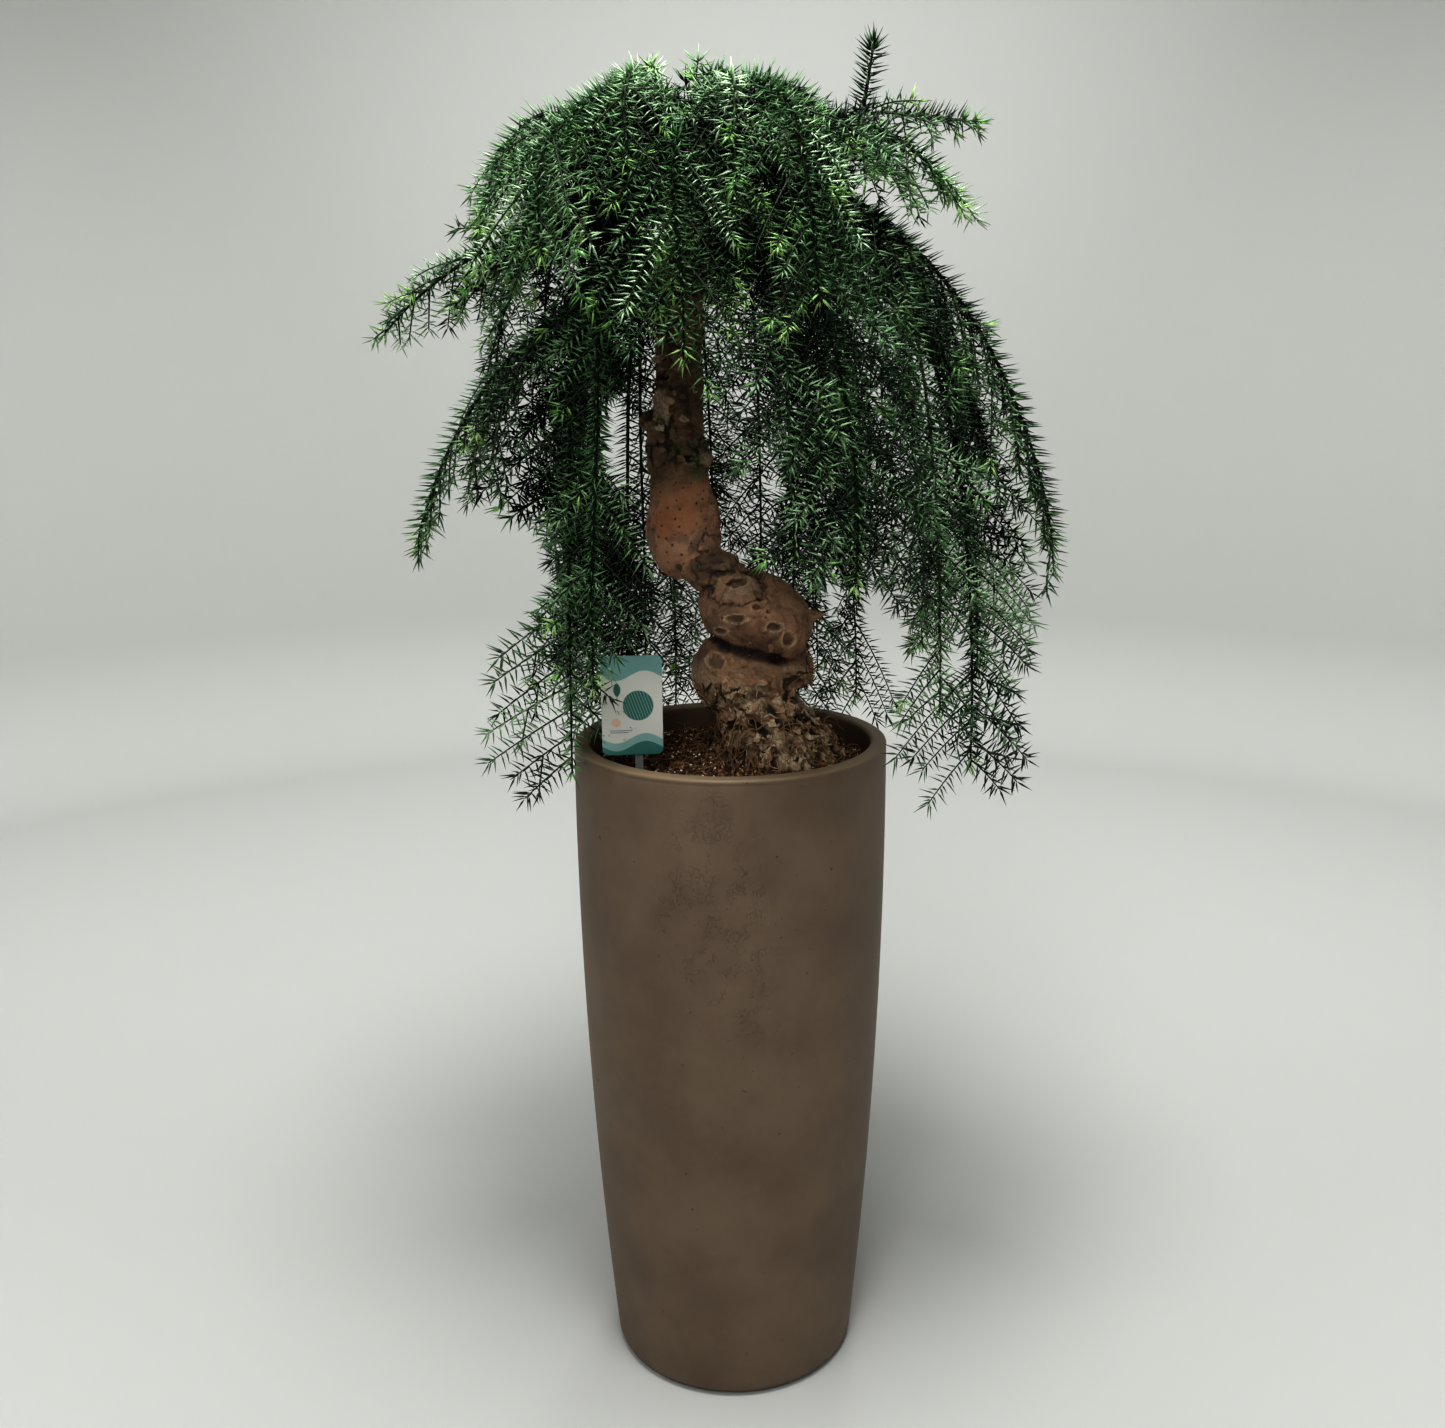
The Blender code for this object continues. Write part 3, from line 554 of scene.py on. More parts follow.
def ceiling(point):
    """The height of the crown's outer surface over a point."""
    edge = np.interp(point.x, [row[0] for row in CROWN_EDGE], [row[1] for row in CROWN_EDGE])
    return float(edge) - CROWN_FALL * max(0.0, abs(point.y) - 0.045)


def settle(point):
    """Presses what rises above the crown's outer surface down under it."""
    top = ceiling(point)
    over = point.z - (top - 0.02)
    if over > 0:
        point.z = top - 0.02 * math.exp(-over / 0.02)
    return point


class Frond:
    """The line that one bough and its foliage follow, measured by the distance along it."""

    def __init__(self, azimuth, height, reach, tip_height, climb, curl, turn, droop, shoot, start=None):
        angle = math.radians(azimuth)
        self.start = start or trunk_point(angle, height)
        self.azimuth, self.climb, self.curl = azimuth, climb, curl
        self.turn, self.droop, self.shoot = math.radians(turn), droop, shoot
        out = compass(angle)
        fall = climb + self.start.z - tip_height
        self.points, self.marks = [], [0.0]
        for i in range(FROND_STEPS + 1):
            t = i / FROND_STEPS
            point = self.start + out * (reach * (1 - (1 - t) ** curl))
            point.z += climb * t - fall * t * t
            wander = 0.020 * t * t * noise.noise(Vector((t * 2.6, azimuth, height * 9)))
            point += Vector((-out.y, out.x, 0)) * wander
            point = settle(point)
            if self.points:
                self.marks.append(self.marks[-1] + (point - self.points[-1]).length)
            self.points.append(point)
        self.length = self.marks[-1]
        self.bough = min(BOUGH_MOST, BOUGH_SHARE * self.length)
        self.high = self.points[-1].z > HIGH_TIP

    def at(self, distance):
        """The point at a distance, the direction onwards and the direction across the flat side."""
        distance = min(max(distance, 0.0), self.length)
        i = 0
        while i < FROND_STEPS - 1 and self.marks[i + 1] < distance:
            i += 1
        share = (distance - self.marks[i]) / (self.marks[i + 1] - self.marks[i])
        point = self.points[i].lerp(self.points[i + 1], share)
        onward = (self.points[min(i + 2, FROND_STEPS)] - self.points[max(i - 1, 0)]).normalized()
        across = UP.cross((self.points[-1] - self.points[0]).xy.to_3d()).normalized()
        across = (across - onward * across.dot(onward)).normalized()
        across = Matrix.Rotation(self.turn * distance / self.length, 3, onward) @ across
        return point, onward, across


def fork(frond, share, swing, part, rise=0.5, shoot=0.75):
    """A lesser frond that leaves another at a share of its length, swung to one side and a part as long."""
    start = frond.at(frond.length * share)[0]
    end = frond.points[-1]
    reach = (end.xy - start.xy).length * part
    tip = start.z + (end.z - start.z) * part
    turn = math.degrees(frond.turn) * (1 - share)
    return Frond(
        frond.azimuth + swing, 0, reach, tip, frond.climb * rise * part, frond.curl, turn, frond.droop,
        frond.shoot * shoot, start,
    )


def shoot_length(frond, share):
    """The side shoots are short at both ends of a frond and longest in its middle."""
    rise = min(1.0, 0.55 + share * 1.6)
    fall = 1.0 if share < 0.5 else 1 - 0.5 * ((share - 0.5) / 0.5) ** (2.5 if frond.high else 4.0)
    return frond.shoot * SHOOT_SCALE * rise * fall


class Shoots:
    """Leafy lines gathered for one batch: points, edges and what each point carries."""

    def __init__(self):
        self.points, self.edges, self.flat, self.runs = [], [], [], []
        self.thick, self.size, self.tip, self.tint, self.fresh = [], [], [], [], []

    def add_tipped(self, line, flat, radii, size, tint, fresh):
        """A shoot whose last stretch is repeated, so that its needles stand in a tuft there."""
        self.add(line, flat, radii, size, tint, fresh)
        ahead = (line[-1] - line[-2]).normalized()
        for k in range(TUFTS if fresh else 1):
            turned = Matrix.Rotation(0.9 * (k + 1), 3, ahead) @ flat
            ends = [line[-1] - ahead * (0.0075 - 0.0007 * k), line[-1] + ahead * 0.001]
            self.add(ends, turned, (radii[1], radii[1] * 0.6), size * 1.08, tint, fresh)

    def add(self, line, flat, radii, size, tint, fresh):
        """flat is the direction across the shoot, to which most of its needles are turned."""
        first, count = len(self.points), len(line)
        self.runs.append((first, count))
        rest = [0.0]
        for a, b in zip(line[::-1], line[-2::-1]):
            rest.append(rest[-1] + (a - b).length)
        self.points += line
        self.tip += rest[::-1]
        self.thick += [radii[0] + (radii[1] - radii[0]) * (i / (count - 1)) for i in range(count)]
        self.edges += [(first + i, first + i + 1) for i in range(count - 1)]
        for kept, value in ((self.size, size), (self.tint, tint), (self.fresh, fresh), (self.flat, flat)):
            kept += [value] * count


class Keep:
    """Where the shoots may grow: inside the plant's reach and clear of trunk, planter and label."""

    def __init__(self):
        self.trees = [tree_over(CAD[name].data) for name in ("trunk", "label_card", "label_stake")]

    def free(self, line, clear):
        for point in line[1:]:
            if any(not REACH_LOW[k] < point[k] < REACH_HIGH[k] for k in range(3)) or self.kept_open(point):
                return False
            if point.z < POT_HEIGHT + clear and math.hypot(point.x, point.y) < RIM_RADIUS + clear:
                return False
            if any(tree.find_nearest(point, clear)[0] is not None for tree in self.trees):
                return False
        return True

    def kept_open(self, point):
        """Whether a point would close a gap in the crown or hide the trunk or label from the front."""
        spot = seen(point)
        x, z, half_x, half_z = OPEN_CARD
        if point.y < CARD_CENTRE.y and abs(spot.x - x) < half_x and abs(spot.z - z) < half_z:
            return True
        for x, z, half_x, half_z in OPENINGS:
            if ((spot.x - x) / half_x) ** 2 + ((spot.z - z) / half_z) ** 2 < 1:
                return True
        if point.y > -0.03 or not OPEN_FRONT[-1][0] < spot.z < OPEN_FRONT[0][0]:
            return False
        for above, below in zip(OPEN_FRONT, OPEN_FRONT[1:]):
            if spot.z >= below[0]:
                break
        share = (spot.z - below[0]) / (above[0] - below[0])
        centre, half = (below[i] + (above[i] - below[i]) * share for i in (1, 2))
        return abs(spot.x - centre) < half


def bent_line(start, heading, length, droop, step=0.013):
    """A short shoot that leaves in a direction and sinks under its own weight."""
    steps = max(3, round(length / step))
    line = [start]
    for i in range(steps):
        bent = (heading + DOWN * (droop * (0.5 + i / steps))).normalized()
        line.append(settle(line[-1] + bent * (length / steps)))
    return line


def fresh_tip(rng, high):
    """How much of a shoot's end is new growth: more often, and longer, high in the crown."""
    if rng.random() < (0.34 if high else 0.12):
        return rng.uniform(0.006, 0.018 if high else 0.011)
    return 0.0


def side_shoots(store, frond, first, scale, rng, keep, tints, high, upper=1.0, taper=0.0, spread=1.0):
    """Side shoots in pairs along a frond from a first distance on, the longer ones forked."""
    length = frond.length - first
    count = max(2, round(length / (SHOOT_STEP * spread)))
    for i in range(count):
        for side in (-1, 1):
            share = (i + 0.5 + 0.22 * side + rng.uniform(-0.2, 0.2)) / count
            share = min(max(share, 0.0), 0.99)
            point, onward, across = frond.at(first + length * share)
            reach = shoot_length(frond, share) * scale * rng.uniform(0.74, 1.10) * (1 - taper * share)
            if reach < LEAST_SHOOT:
                continue
            angle = math.radians(SHOOT_ANGLE + rng.uniform(-9, 9))
            swing = Matrix.Rotation(rng.gauss(0, 0.20 if high else 0.12), 3, onward)
            heading = onward * math.cos(angle) + (swing @ across) * (side * math.sin(angle))
            if heading.z > 0 or heading.xy.dot(point.xy - TRUNK_TOP.xy) > 0:
                reach *= upper
            for trim in (1.0, 0.75, 0.5):
                line = bent_line(point, heading, reach * trim, frond.droop)
                if keep.free(line, 0.009):
                    break
            else:
                continue
            tint = rng.choice(tints)
            size = rng.uniform(0.90, 1.06) * (0.84 + 0.16 * min(1.0, reach / 0.07)) * (0.90 if high else 1.0)
            along = (line[-1] - line[0]).normalized()
            plane = onward.cross(swing @ across).normalized()
            flat = plane.cross(along).normalized()
            store.add_tipped(line, flat, SHOOT_RADII, size, tint, fresh_tip(rng, high))
            if reach * trim < LEAST_FORKED:
                continue
            if rng.choice((0, 1, 1)):
                base = line[int(rng.uniform(0.25, 0.62) * (len(line) - 1))]
                away = along * 0.72 + plane.cross(along) * 0.66 + DOWN * 0.1
                twig = bent_line(base, away.normalized(), rng.uniform(0.024, 0.042), 0.3, 0.012)
                if keep.free(twig, 0.008):
                    across_twig = plane.cross(away).normalized()
                    store.add_tipped(twig, across_twig, SHOOT_RADII, size * 0.9, tint, fresh_tip(rng, high))


def grow(names, fronds, rng, keep):
    """All the leafy lines of some fronds: stems, lesser fronds beside them, side shoots and twiglets."""
    store = Shoots()
    for name in names:
        frond = fronds[name]
        # Low fronds take more of the dark greens: painted shade under the crown.
        tints = HIGH_TINTS if frond.high else LOW_TINTS
        first = frond.bough * 0.4
        last = STEM_POINTS - 1
        line = [frond.at(first + (frond.length - first) * i / last)[0] for i in range(STEM_POINTS)]
        across, tint = frond.at(frond.length * 0.5)[2], rng.choice(tints)
        store.add(line, across, STEM_RADII, 1.04, tint, 0.012)
        store.add(line, across.cross(frond.at(frond.length * 0.7)[1]), STEM_RADII, 0.92, tint, 0.012)
        upper = OPEN_FRONDS.get(name, 1.0)
        taper = TAPER.get(name, 0.0)
        spread = BACK_SPREAD if "back" in name and not frond.high else 1.0
        rule = (rng, keep, tints, frond.high, upper, taper, spread)
        side_shoots(store, frond, first + 0.012, 1.0, *rule)
        if name in OPEN_FRONDS:
            forks = OPEN_FORKS
        elif frond.high:
            forks = HIGH_FORKS + ((0.16, rng.choice((-22, 22)), 0.74),)
            if name.startswith("front"):
                forks += FRONT_FORKS
        else:
            forks = LOW_FORKS
        for share, swing, part in forks:
            share = share + rng.uniform(0, 0.05)
            swing = swing * rng.uniform(0.8, 1.2)
            lesser = fork(frond, share, swing, part * rng.uniform(0.88, 1.08), rng.uniform(0.35, 0.7))
            count = max(5, round(lesser.length / 0.013))
            line = [lesser.at(lesser.length * i / count)[0] for i in range(count + 1)]
            while len(line) > 5 and not keep.free(line[3:], 0.010):
                line.pop()
            cut = (len(line) - 1) / count
            if len(line) < 6 or cut < 0.7:
                continue
            store.add(line, lesser.at(lesser.length * 0.5)[2], FORK_RADII, 1.04, rng.choice(tints), 0.010)
            lesser.length *= cut
            side_shoots(store, lesser, 0.016, 0.90, *rule)
    return store


def grow_leader(store, frond):
    """The one upright shoot that stands above the crown."""
    base = frond.at(frond.length * LEADER_AT)[0]
    line = [base + LEADER_HEADING * (LEADER_LENGTH * i / 6) for i in range(7)]
    for k in range(3):
        store.add_tipped(line, compass(1.05 * k), LEADER_RADII, 1.06, k % 2, 0.0)


def grow_crown_tip(store, rng):
    """Shoots all round the trunk's tip, the upper ones steeper."""
    for i in range(CROWN_TIP_SHOOTS):
        out = compass(CROWN_TIP_TURN * i)
        top = TRUNK_TOP - UP * (0.004 + 0.0015 * i)
        rise = rng.uniform(0.9, 2.2) if i < 16 else rng.uniform(0.1, 0.9)
        line = bent_line(top, (out + UP * rise).normalized(), rng.uniform(0.050, 0.085), 0.5)
        flat = Vector((-out.y, out.x, 0))
        store.add_tipped(line, flat, SHOOT_RADII, 1.0, rng.choice((0, 1, 1, 2)), fresh_tip(rng, True))


def grow_stubs(store, rng):
    """Short dark shoots on the right side of the bulb."""
    for i in range(STUBS):
        spot = Vector((-0.020 + 0.003 * rng.random(), -0.006 + 0.012 * rng.random(), 0.950 + 0.0032 * i))
        away = Vector((1.0, rng.uniform(-0.5, 0.5), rng.uniform(-0.6, 0.7))).normalized()
        line = bent_line(spot, away, rng.uniform(0.014, 0.022), 0.2, 0.006)
        store.add(line, Vector((0, 1, 0)), SHOOT_RADII, 0.55, DEEPEST, 0.0)


def paint_inner_shade(stores, rng):
    """Deals the deepest green, near black, to shoots that have many others between them and the outside:
    painted shade.
    """
    runs = [(store, *run, store.points[run[0] + run[1] // 2]) for store in stores for run in store.runs]
    shoots = [middle for store, first, count, middle in runs if 2 < count <= LONGEST_RUN]
    tree = KDTree(len(shoots))
    for number, spot in enumerate(shoots):
        tree.insert(spot, number)
    tree.balance()
    for store, first, count, middle in runs:
        if count > LONGEST_RUN:
            continue
        outward = ((middle - TRUNK_TOP).xy.to_3d().normalized() + UP * 0.7).normalized()
        cover = 0
        for spot, number, far in tree.find_range(middle, COVER_REACH):
            ahead = (spot - middle).dot(outward)
            cover += ahead > 0.010 and far * far - ahead * ahead < COVER_WIDTH ** 2
        # Painted shade: a covered shoot takes the near-black green.
        if rng.random() < (cover - COVER_LEAST) * COVER_SHARE:
            store.tint[first : first + count] = [DEEPEST] * count


# Needles and twigs by Geometry Nodes
def needle_shape():
    """One awl-shaped needle along +Z, one unit long, widest low down and curving in at its tip."""
    half = NEEDLE_WIDTH / NEEDLE_LENGTH / 2
    back, front = 0.020 - 0.5 * half, 0.020 + 0.8 * half
    points = [(0, 0, -0.03), (back, half, 0.28), (back, -half, 0.28), (front, 0, 0.28), (-0.020, 0, 1)]
    faces = [(0, 1, 2), (0, 2, 3), (0, 3, 1), (1, 4, 2), (2, 4, 3), (3, 4, 1)]
    return mesh_object("needle_shape", points, faces, smooth=True)


def set_inputs(modifier, tree, values):
    for item in tree.interface.items_tree:
        if item.item_type == "SOCKET" and item.in_out == "INPUT" and item.name in values:
            modifier[item.identifier] = values[item.name]


def named(tree, name, kind="FLOAT"):
    return put(tree, "GeometryNodeInputNamedAttribute", {"data_type": kind}, Name=name).outputs["Attribute"]


def random_between(tree, low, high, seed):
    return put(tree, "FunctionNodeRandomValue", {"data_type": "FLOAT"}, i2=low, i3=high, Seed=seed).outputs[1]


def dealt(tree, geometry, picker, looks):
    """Gives each part of the geometry the material whose number its picker holds."""
    same = {"data_type": "FLOAT", "operation": "EQUAL"}
    for number, look in enumerate(looks):
        chosen = put(tree, "FunctionNodeCompare", same, i0=picker, i1=float(number), Epsilon=0.45).outputs[0]
        made = put(tree, "GeometryNodeSetMaterial", None, Geometry=geometry, Selection=chosen, Material=look)
        geometry = made.outputs[0]
    return geometry


def instances(tree, points, thing, rotation, scale):
    """A thing set on every point."""
    shape = put(tree, "GeometryNodeObjectInfo", None, Object=thing).outputs["Geometry"]
    kind = "GeometryNodeInstanceOnPoints"
    return put(tree, kind, None, Points=points, Instance=shape, Rotation=rotation, Scale=scale).outputs[0]


def realized(tree, geometry):
    return put(tree, "GeometryNodeRealizeInstances", None, Geometry=geometry).outputs[0]


def new_tree(name, **inputs):
    """An empty tree with named inputs, each a kind and a value; the inputs' sockets come back too."""
    tree = bpy.data.node_groups.new(name, "GeometryNodeTree")
    for way in ("INPUT", "OUTPUT"):
        tree.interface.new_socket(name="Geometry", in_out=way, socket_type="NodeSocketGeometry")
    for key, (kind, value) in inputs.items():
        made = tree.interface.new_socket(name=key, in_out="INPUT", socket_type="NodeSocket" + kind)
        if value is not None:
            made.default_value = value
    return tree, put(tree, "NodeGroupInput").outputs


def needle_tree(looks, fresh_looks):
    """Needles set in a spiral along every line, laid forward near its tip and paler there."""
    tree, into = new_tree(
        "needles along shoots",
        Step=("Float", NEEDLE_STEP),
        Length=("Float", NEEDLE_LENGTH),
        Angle=("Float", math.radians(NEEDLE_ANGLE)),
        Tuft=("Float", TUFT),
        Needle=("Object", None),
    )
    curve = put(tree, "GeometryNodeMeshToCurve", None, Mesh=into["Geometry"]).outputs[0]
    by_length = {"mode": "LENGTH"}
    points = put(tree, "GeometryNodeCurveToPoints", by_length, Curve=curve, Length=into["Step"]).outputs
    tip, tint = named(tree, "tip"), named(tree, "tint")
    near = ramp(tip, -0.002, times(into["Tuft"], 1.4))
    # Four needles of five lie to the two sides in turn, a little above or below; the fifth stands out of them
    five = maths("MODULO", put(tree, "GeometryNodeInputIndex").outputs[0], 5.0)
    pair = times(maths("MODULO", five, 2.0), math.pi)
    tilt = times(minus(maths("FLOOR", maths("DIVIDE", five, 2.0)), 0.5), 0.6)
    stand = times(maths("GREATER_THAN", five, 3.5), 0.7)
    spin = plus(plus(pair, tilt), plus(stand, random_between(tree, -0.14, 0.14, 3)))
    lean = times(into["Angle"], plus(times(near, 0.66), 0.34))
    lean = plus(lean, random_between(tree, -0.09, 0.09, 5))
    across = named(tree, "flat", "FLOAT_VECTOR")
    axes = {"primary_axis": "Z", "secondary_axis": "X"}
    turned = put(tree, "FunctionNodeAxesToRotation", axes, i0=points["Tangent"], i1=across).outputs[0]
    local = {"rotation_space": "LOCAL"}
    for axis, angle in (((0, 0, 1), spin), ((0, 1, 0), lean)):
        by = put(tree, "FunctionNodeAxisAngleToRotation", None, Axis=axis, Angle=angle).outputs[0]
        turned = put(tree, "FunctionNodeRotateRotation", local, Rotation=turned, Rotate_By=by).outputs[0]
    size = times(into["Length"], named(tree, "size"))
    size = times(size, plus(times(near, 0.12), 0.88))
    size = times(size, random_between(tree, 0.90, 1.10, 9))
    needles = instances(tree, points["Points"], into["Needle"], turned, size)
    less = {"data_type": "FLOAT", "operation": "LESS_THAN"}
    reach = times(named(tree, "fresh"), random_between(tree, 0.7, 1.2, 12))
    young = put(tree, "FunctionNodeCompare", less, i0=tip, i1=reach).outputs[0]
    fresh = plus(maths("MODULO", tint, float(len(fresh_looks))), float(len(looks)))
    picks = {"Switch": young, "False": tint, "True": fresh}
    look = put(tree, "GeometryNodeSwitch", {"input_type": "FLOAT"}, **picks).outputs[0]
    each = {"data_type": "FLOAT", "domain": "INSTANCE"}
    stored = put(tree, "GeometryNodeStoreNamedAttribute", each, Geometry=needles, Name="look", Value=look)
    done = dealt(tree, realized(tree, stored.outputs[0]), named(tree, "look"), looks + fresh_looks)
    tree.links.new(done, put(tree, "NodeGroupOutput").inputs[0])
    return tree


def twig_tree(look):
    """Thin round twigs along every line, of its own thickness."""
    tree, into = new_tree("twigs along shoots", Sides=("Int", 4))
    curve = put(tree, "GeometryNodeMeshToCurve", None, Mesh=into["Geometry"]).outputs[0]
    ring = put(tree, "GeometryNodeCurvePrimitiveCircle", None, Resolution=into["Sides"], Radius=1.0)
    links = {"Profile Curve": ring.outputs[0], "Scale": named(tree, "thick"), "Fill Caps": True}
    skin = put(tree, "GeometryNodeCurveToMesh", None, Curve=curve, **links).outputs[0]
    smooth = put(tree, "GeometryNodeSetShadeSmooth", None, Geometry=skin).outputs[0]
    done = put(tree, "GeometryNodeSetMaterial", None, Geometry=realized(tree, smooth), Material=look)
    tree.links.new(done.outputs[0], put(tree, "NodeGroupOutput").inputs[0])
    return tree


def lines_object(name, store):
    mesh = bpy.data.meshes.new(name)
    mesh.from_pydata([tuple(p) for p in store.points], store.edges, [])
    for key in CARRIED:
        layer = mesh.attributes.new(key, "FLOAT", "POINT")
        layer.data.foreach_set("value", [float(v) for v in getattr(store, key)])
    across = mesh.attributes.new("flat", "FLOAT_VECTOR", "POINT")
    across.data.foreach_set("vector", [v for flat in store.flat for v in flat])
    return placed(name, mesh)


def by_nodes(obj, tree, values):
    """The mesh that a tree makes of an object, without the modifier and what the lines carried."""
    modifier = obj.modifiers.new("nodes", "NODES")
    modifier.node_group = tree
    set_inputs(modifier, tree, values)
    plain(obj)
    held = obj.data.attributes
    for key in [layer.name for layer in held if layer.name in CARRIED + ("flat", "look")]:
        held.remove(held[key])
    return obj


def needle_looks():
    """Greens dealt out by spray: old needles deep and a little waxy, the last near black as painted shade,
    young ones at the tips fresh.
    """
    aged_and_shaded = (("172A18", 0.4), ("3F603B", 0.5), ("73956B", 0.6), ("A9C6A0", 0.6), ("040804", 0.05))
    old, young = [], []
    for i, (code, wax) in enumerate(aged_and_shaded):
        old.append(surface("hoop pine needle, aged %d" % i, code, 0.40, Specular_IOR_Level=wax)[0])
    for i, code in enumerate(("7AA562", "94BB73", "6A9756")):
        young.append(surface("hoop pine needle, young %d" % i, code, 0.42, Specular_IOR_Level=0.5)[0])
    return old, young


def bough_look():
    look, tree, shader = surface("brown stem bark", "5A4631", 0.75)
    grain = noise_of(tree, 260, 3, 0.6, (1, 1, 0.35))
    tree.links.new(blend(ramp(grain, 0.35, 0.65), "3B2C1E", "6B5238"), shader.inputs["Base Color"])
    bump(tree, shader, grain, 0.0006)
    return look


# Bark
def bark_look():
    """Orange where smooth, brown where weathered, pale where fibrous, dark in pores and strands and with
    painted shade in cracks and hollows, mossy at the neck.
    """
    look, tree, shader = surface("hoop pine bark", "715846", 0.78)
    broad = noise_of(tree, 28, 4, 0.6)
    middle = noise_of(tree, 95, 4, 0.65)
    fine = noise_of(tree, 330, 4, 0.65)
    base = blend(ramp(broad, 0.35, 0.68), "5A4535", "917257")
    base = dab(base, "40302E", middle, 0.52, 0.66, 0.7)
    smooth = blend(ramp(broad, 0.30, 0.66), "997054", "B68E72")
    smooth = dab(smooth, "A46B44", noise_of(tree, 16, 2, 0.5), 0.50, 0.66, 0.7)
    smooth = dab(smooth, "654E3C", middle, 0.54, 0.70, 0.55)
    smooth = dab(smooth, "5A4E47", noise_of(tree, 42, 3, 0.6), 0.52, 0.62, 0.6)
    base = blend(attribute(tree, "warm"), base, smooth)
    straw = blend(ramp(fine, 0.3, 0.7), "967959", "DACDB0")
    straw = dab(straw, "8F5B3F", broad, 0.45, 0.62, 0.6)
    base = blend(attribute(tree, "pale"), base, straw)
    moss = blend(ramp(fine, 0.4, 0.6), "2B391F", "55633C")
    base = blend(attribute(tree, "moss"), base, moss)
    base = dab(base, "281F1A", fine, 0.58, 0.74, 0.4)
    # The dark tone: painted shade in cracks, creases and hollows, and the real dark of pores and sooty
    # strands.
    base = blend(attribute(tree, "dark"), base, "19120E")
    tree.links.new(base, shader.inputs["Base Color"])
    bump(tree, shader, plus(fine, times(middle, 0.5)), 0.0012)
    return look


def level_rings(rows, lobes, sides):
    """Level rings through rows of height, centre and half widths, with five lobes that fade upwards."""
    rings = []
    low, high = rows[0][0], rows[-1][0]
    for height, x, y, half_x, half_y in rows:
        fade = (1 - (height - low) / (high - low)) ** 2
        ring = []
        for k in range(sides):
            a = 2 * math.pi * k / sides
            swell = 1 + lobes * fade * math.cos(5 * a + 0.6)
            ring.append(Vector((x + half_x * swell * math.cos(a), y + half_y * swell * math.sin(a), height)))
        rings.append(ring)
    return rings


def root_lines():
    """Thick roots that leave the flare and run down into the soil."""
    lines = []
    for start, end, radii in ROOTS:
        a, b = Vector(start), Vector(end)
        line, sizes = [], []
        for i in range(15):
            t = i / 14
            point = a.lerp(b, t)
            point.z = a.z + (b.z - a.z) * (1 - (1 - t) ** 1.7)
            spots = (point * 55, point * 55 + UP * 3, point * 40 + UP * 9)
            line.append(point + Vector(noise.noise(spot) for spot in spots) * 0.006)
            sizes.append(radii[0] + (radii[1] - radii[0]) * t)
        lines.append(limb_tube(line, sizes, 14))
    return lines


def from_front(point, normal):
    """A point of the trunk as seen from the front; the far side repeats the near one, shifted."""
    if normal.y > 0.1:
        return point.x + 0.014, point.z - 0.012
    spot = seen(point)
    return spot.x, spot.z


def hump(value, centre, width):
    """1 at the centre, falling off to both sides."""
    return math.exp(-(((value - centre) / width) ** 2))


def clamp(value, low=0.0, high=1.0):
    return max(low, min(high, value))


def trunk_skin():
    """The trunk's swellings, stem, snag and roots fused into one smooth skin."""
    onward = (SNAG_TIP - SNAG_ROOT).normalized()
    across = Vector((0, 1, 0))
    across = (across - onward * across.dot(onward)).normalized()
    snag = []
    for share, radius in ((0, 1), (0.35, 0.78), (0.65, 0.46), (0.85, 0.24), (1, 0.06)):
        snag.append(round_ring(SNAG_ROOT.lerp(SNAG_TIP, share), onward, across, SNAG_RADIUS * radius, 20))
    stem_rows = []
    for below, above in zip(UPPER_STEM, UPPER_STEM[1:]):
        stem_rows += [tuple(below[i] + (above[i] - below[i]) * t / 3 for i in range(5)) for t in range(3)]
    stem_rows.append(UPPER_STEM[-1])
    pieces = [tube(level_rings(FLARE, 0.10, 48)), tube(level_rings(stem_rows, 0.0, 40)), tube(snag)]
    pieces += [ellipsoid(*blob) for blob in (BARREL, KNOT, ELBOW, BULB) + SWELLINGS]
    pieces += root_lines()
    body = mesh_object("trunk_skin", *gather(pieces))
    fuse = body.modifiers.new("fuse", "REMESH")
    fuse.mode = "VOXEL"
    fuse.voxel_size = SKIN_VOXEL
    soften = body.modifiers.new("soften", "SMOOTH")
    soften.factor = 0.5
    soften.iterations = 5
    return plain(body)


def scarred(spot, rough, lift, warm, pale, dark, middle):
    """What the scars and plates make of a spot's height and tones, painted shade in the scars' hollows and
    painted shadow round the plates included.
    """
    for x, z, half_x, half_z, lip, sunk, black in SCARS:
        across, up = (spot[0] - x) / half_x, (spot[1] - z) / half_z
        if max(abs(across), abs(up)) > 2.2:
            continue
        d = math.hypot(across, up) + rough
        rise = hump(d, 1.05, 0.22)
        inside = clamp((1.0 - d) / 0.35)
        lift += lip * rise - sunk * inside
        pale = max(pale, 0.55 * rise)
        # Painted shade in the scar's sunken middle.
        dark = max(dark, black * inside * (0.75 + 0.5 * middle))
        warm *= 1 - inside
    for x, z, half_x, half_z, high, light in PLATES:
        across, up = (spot[0] - x) / half_x, (spot[1] - z) / half_z
        if max(abs(across), abs(up)) > 1.5:
            continue
        d = (abs(across) ** 3 + abs(up) ** 3) ** (1 / 3) + rough
        on = clamp((1.0 - d) / 0.20)
        lift += high * on * (0.75 + 0.25 * d)
        pale = max(pale, light * on)
        warm *= 1 - 0.5 * on
        # A painted shadow just outside the plate's raised edge.
        dark = max(dark * (1 - 0.5 * on), 0.85 * hump(d, 1.10, 0.09))
    return lift, warm, pale, dark


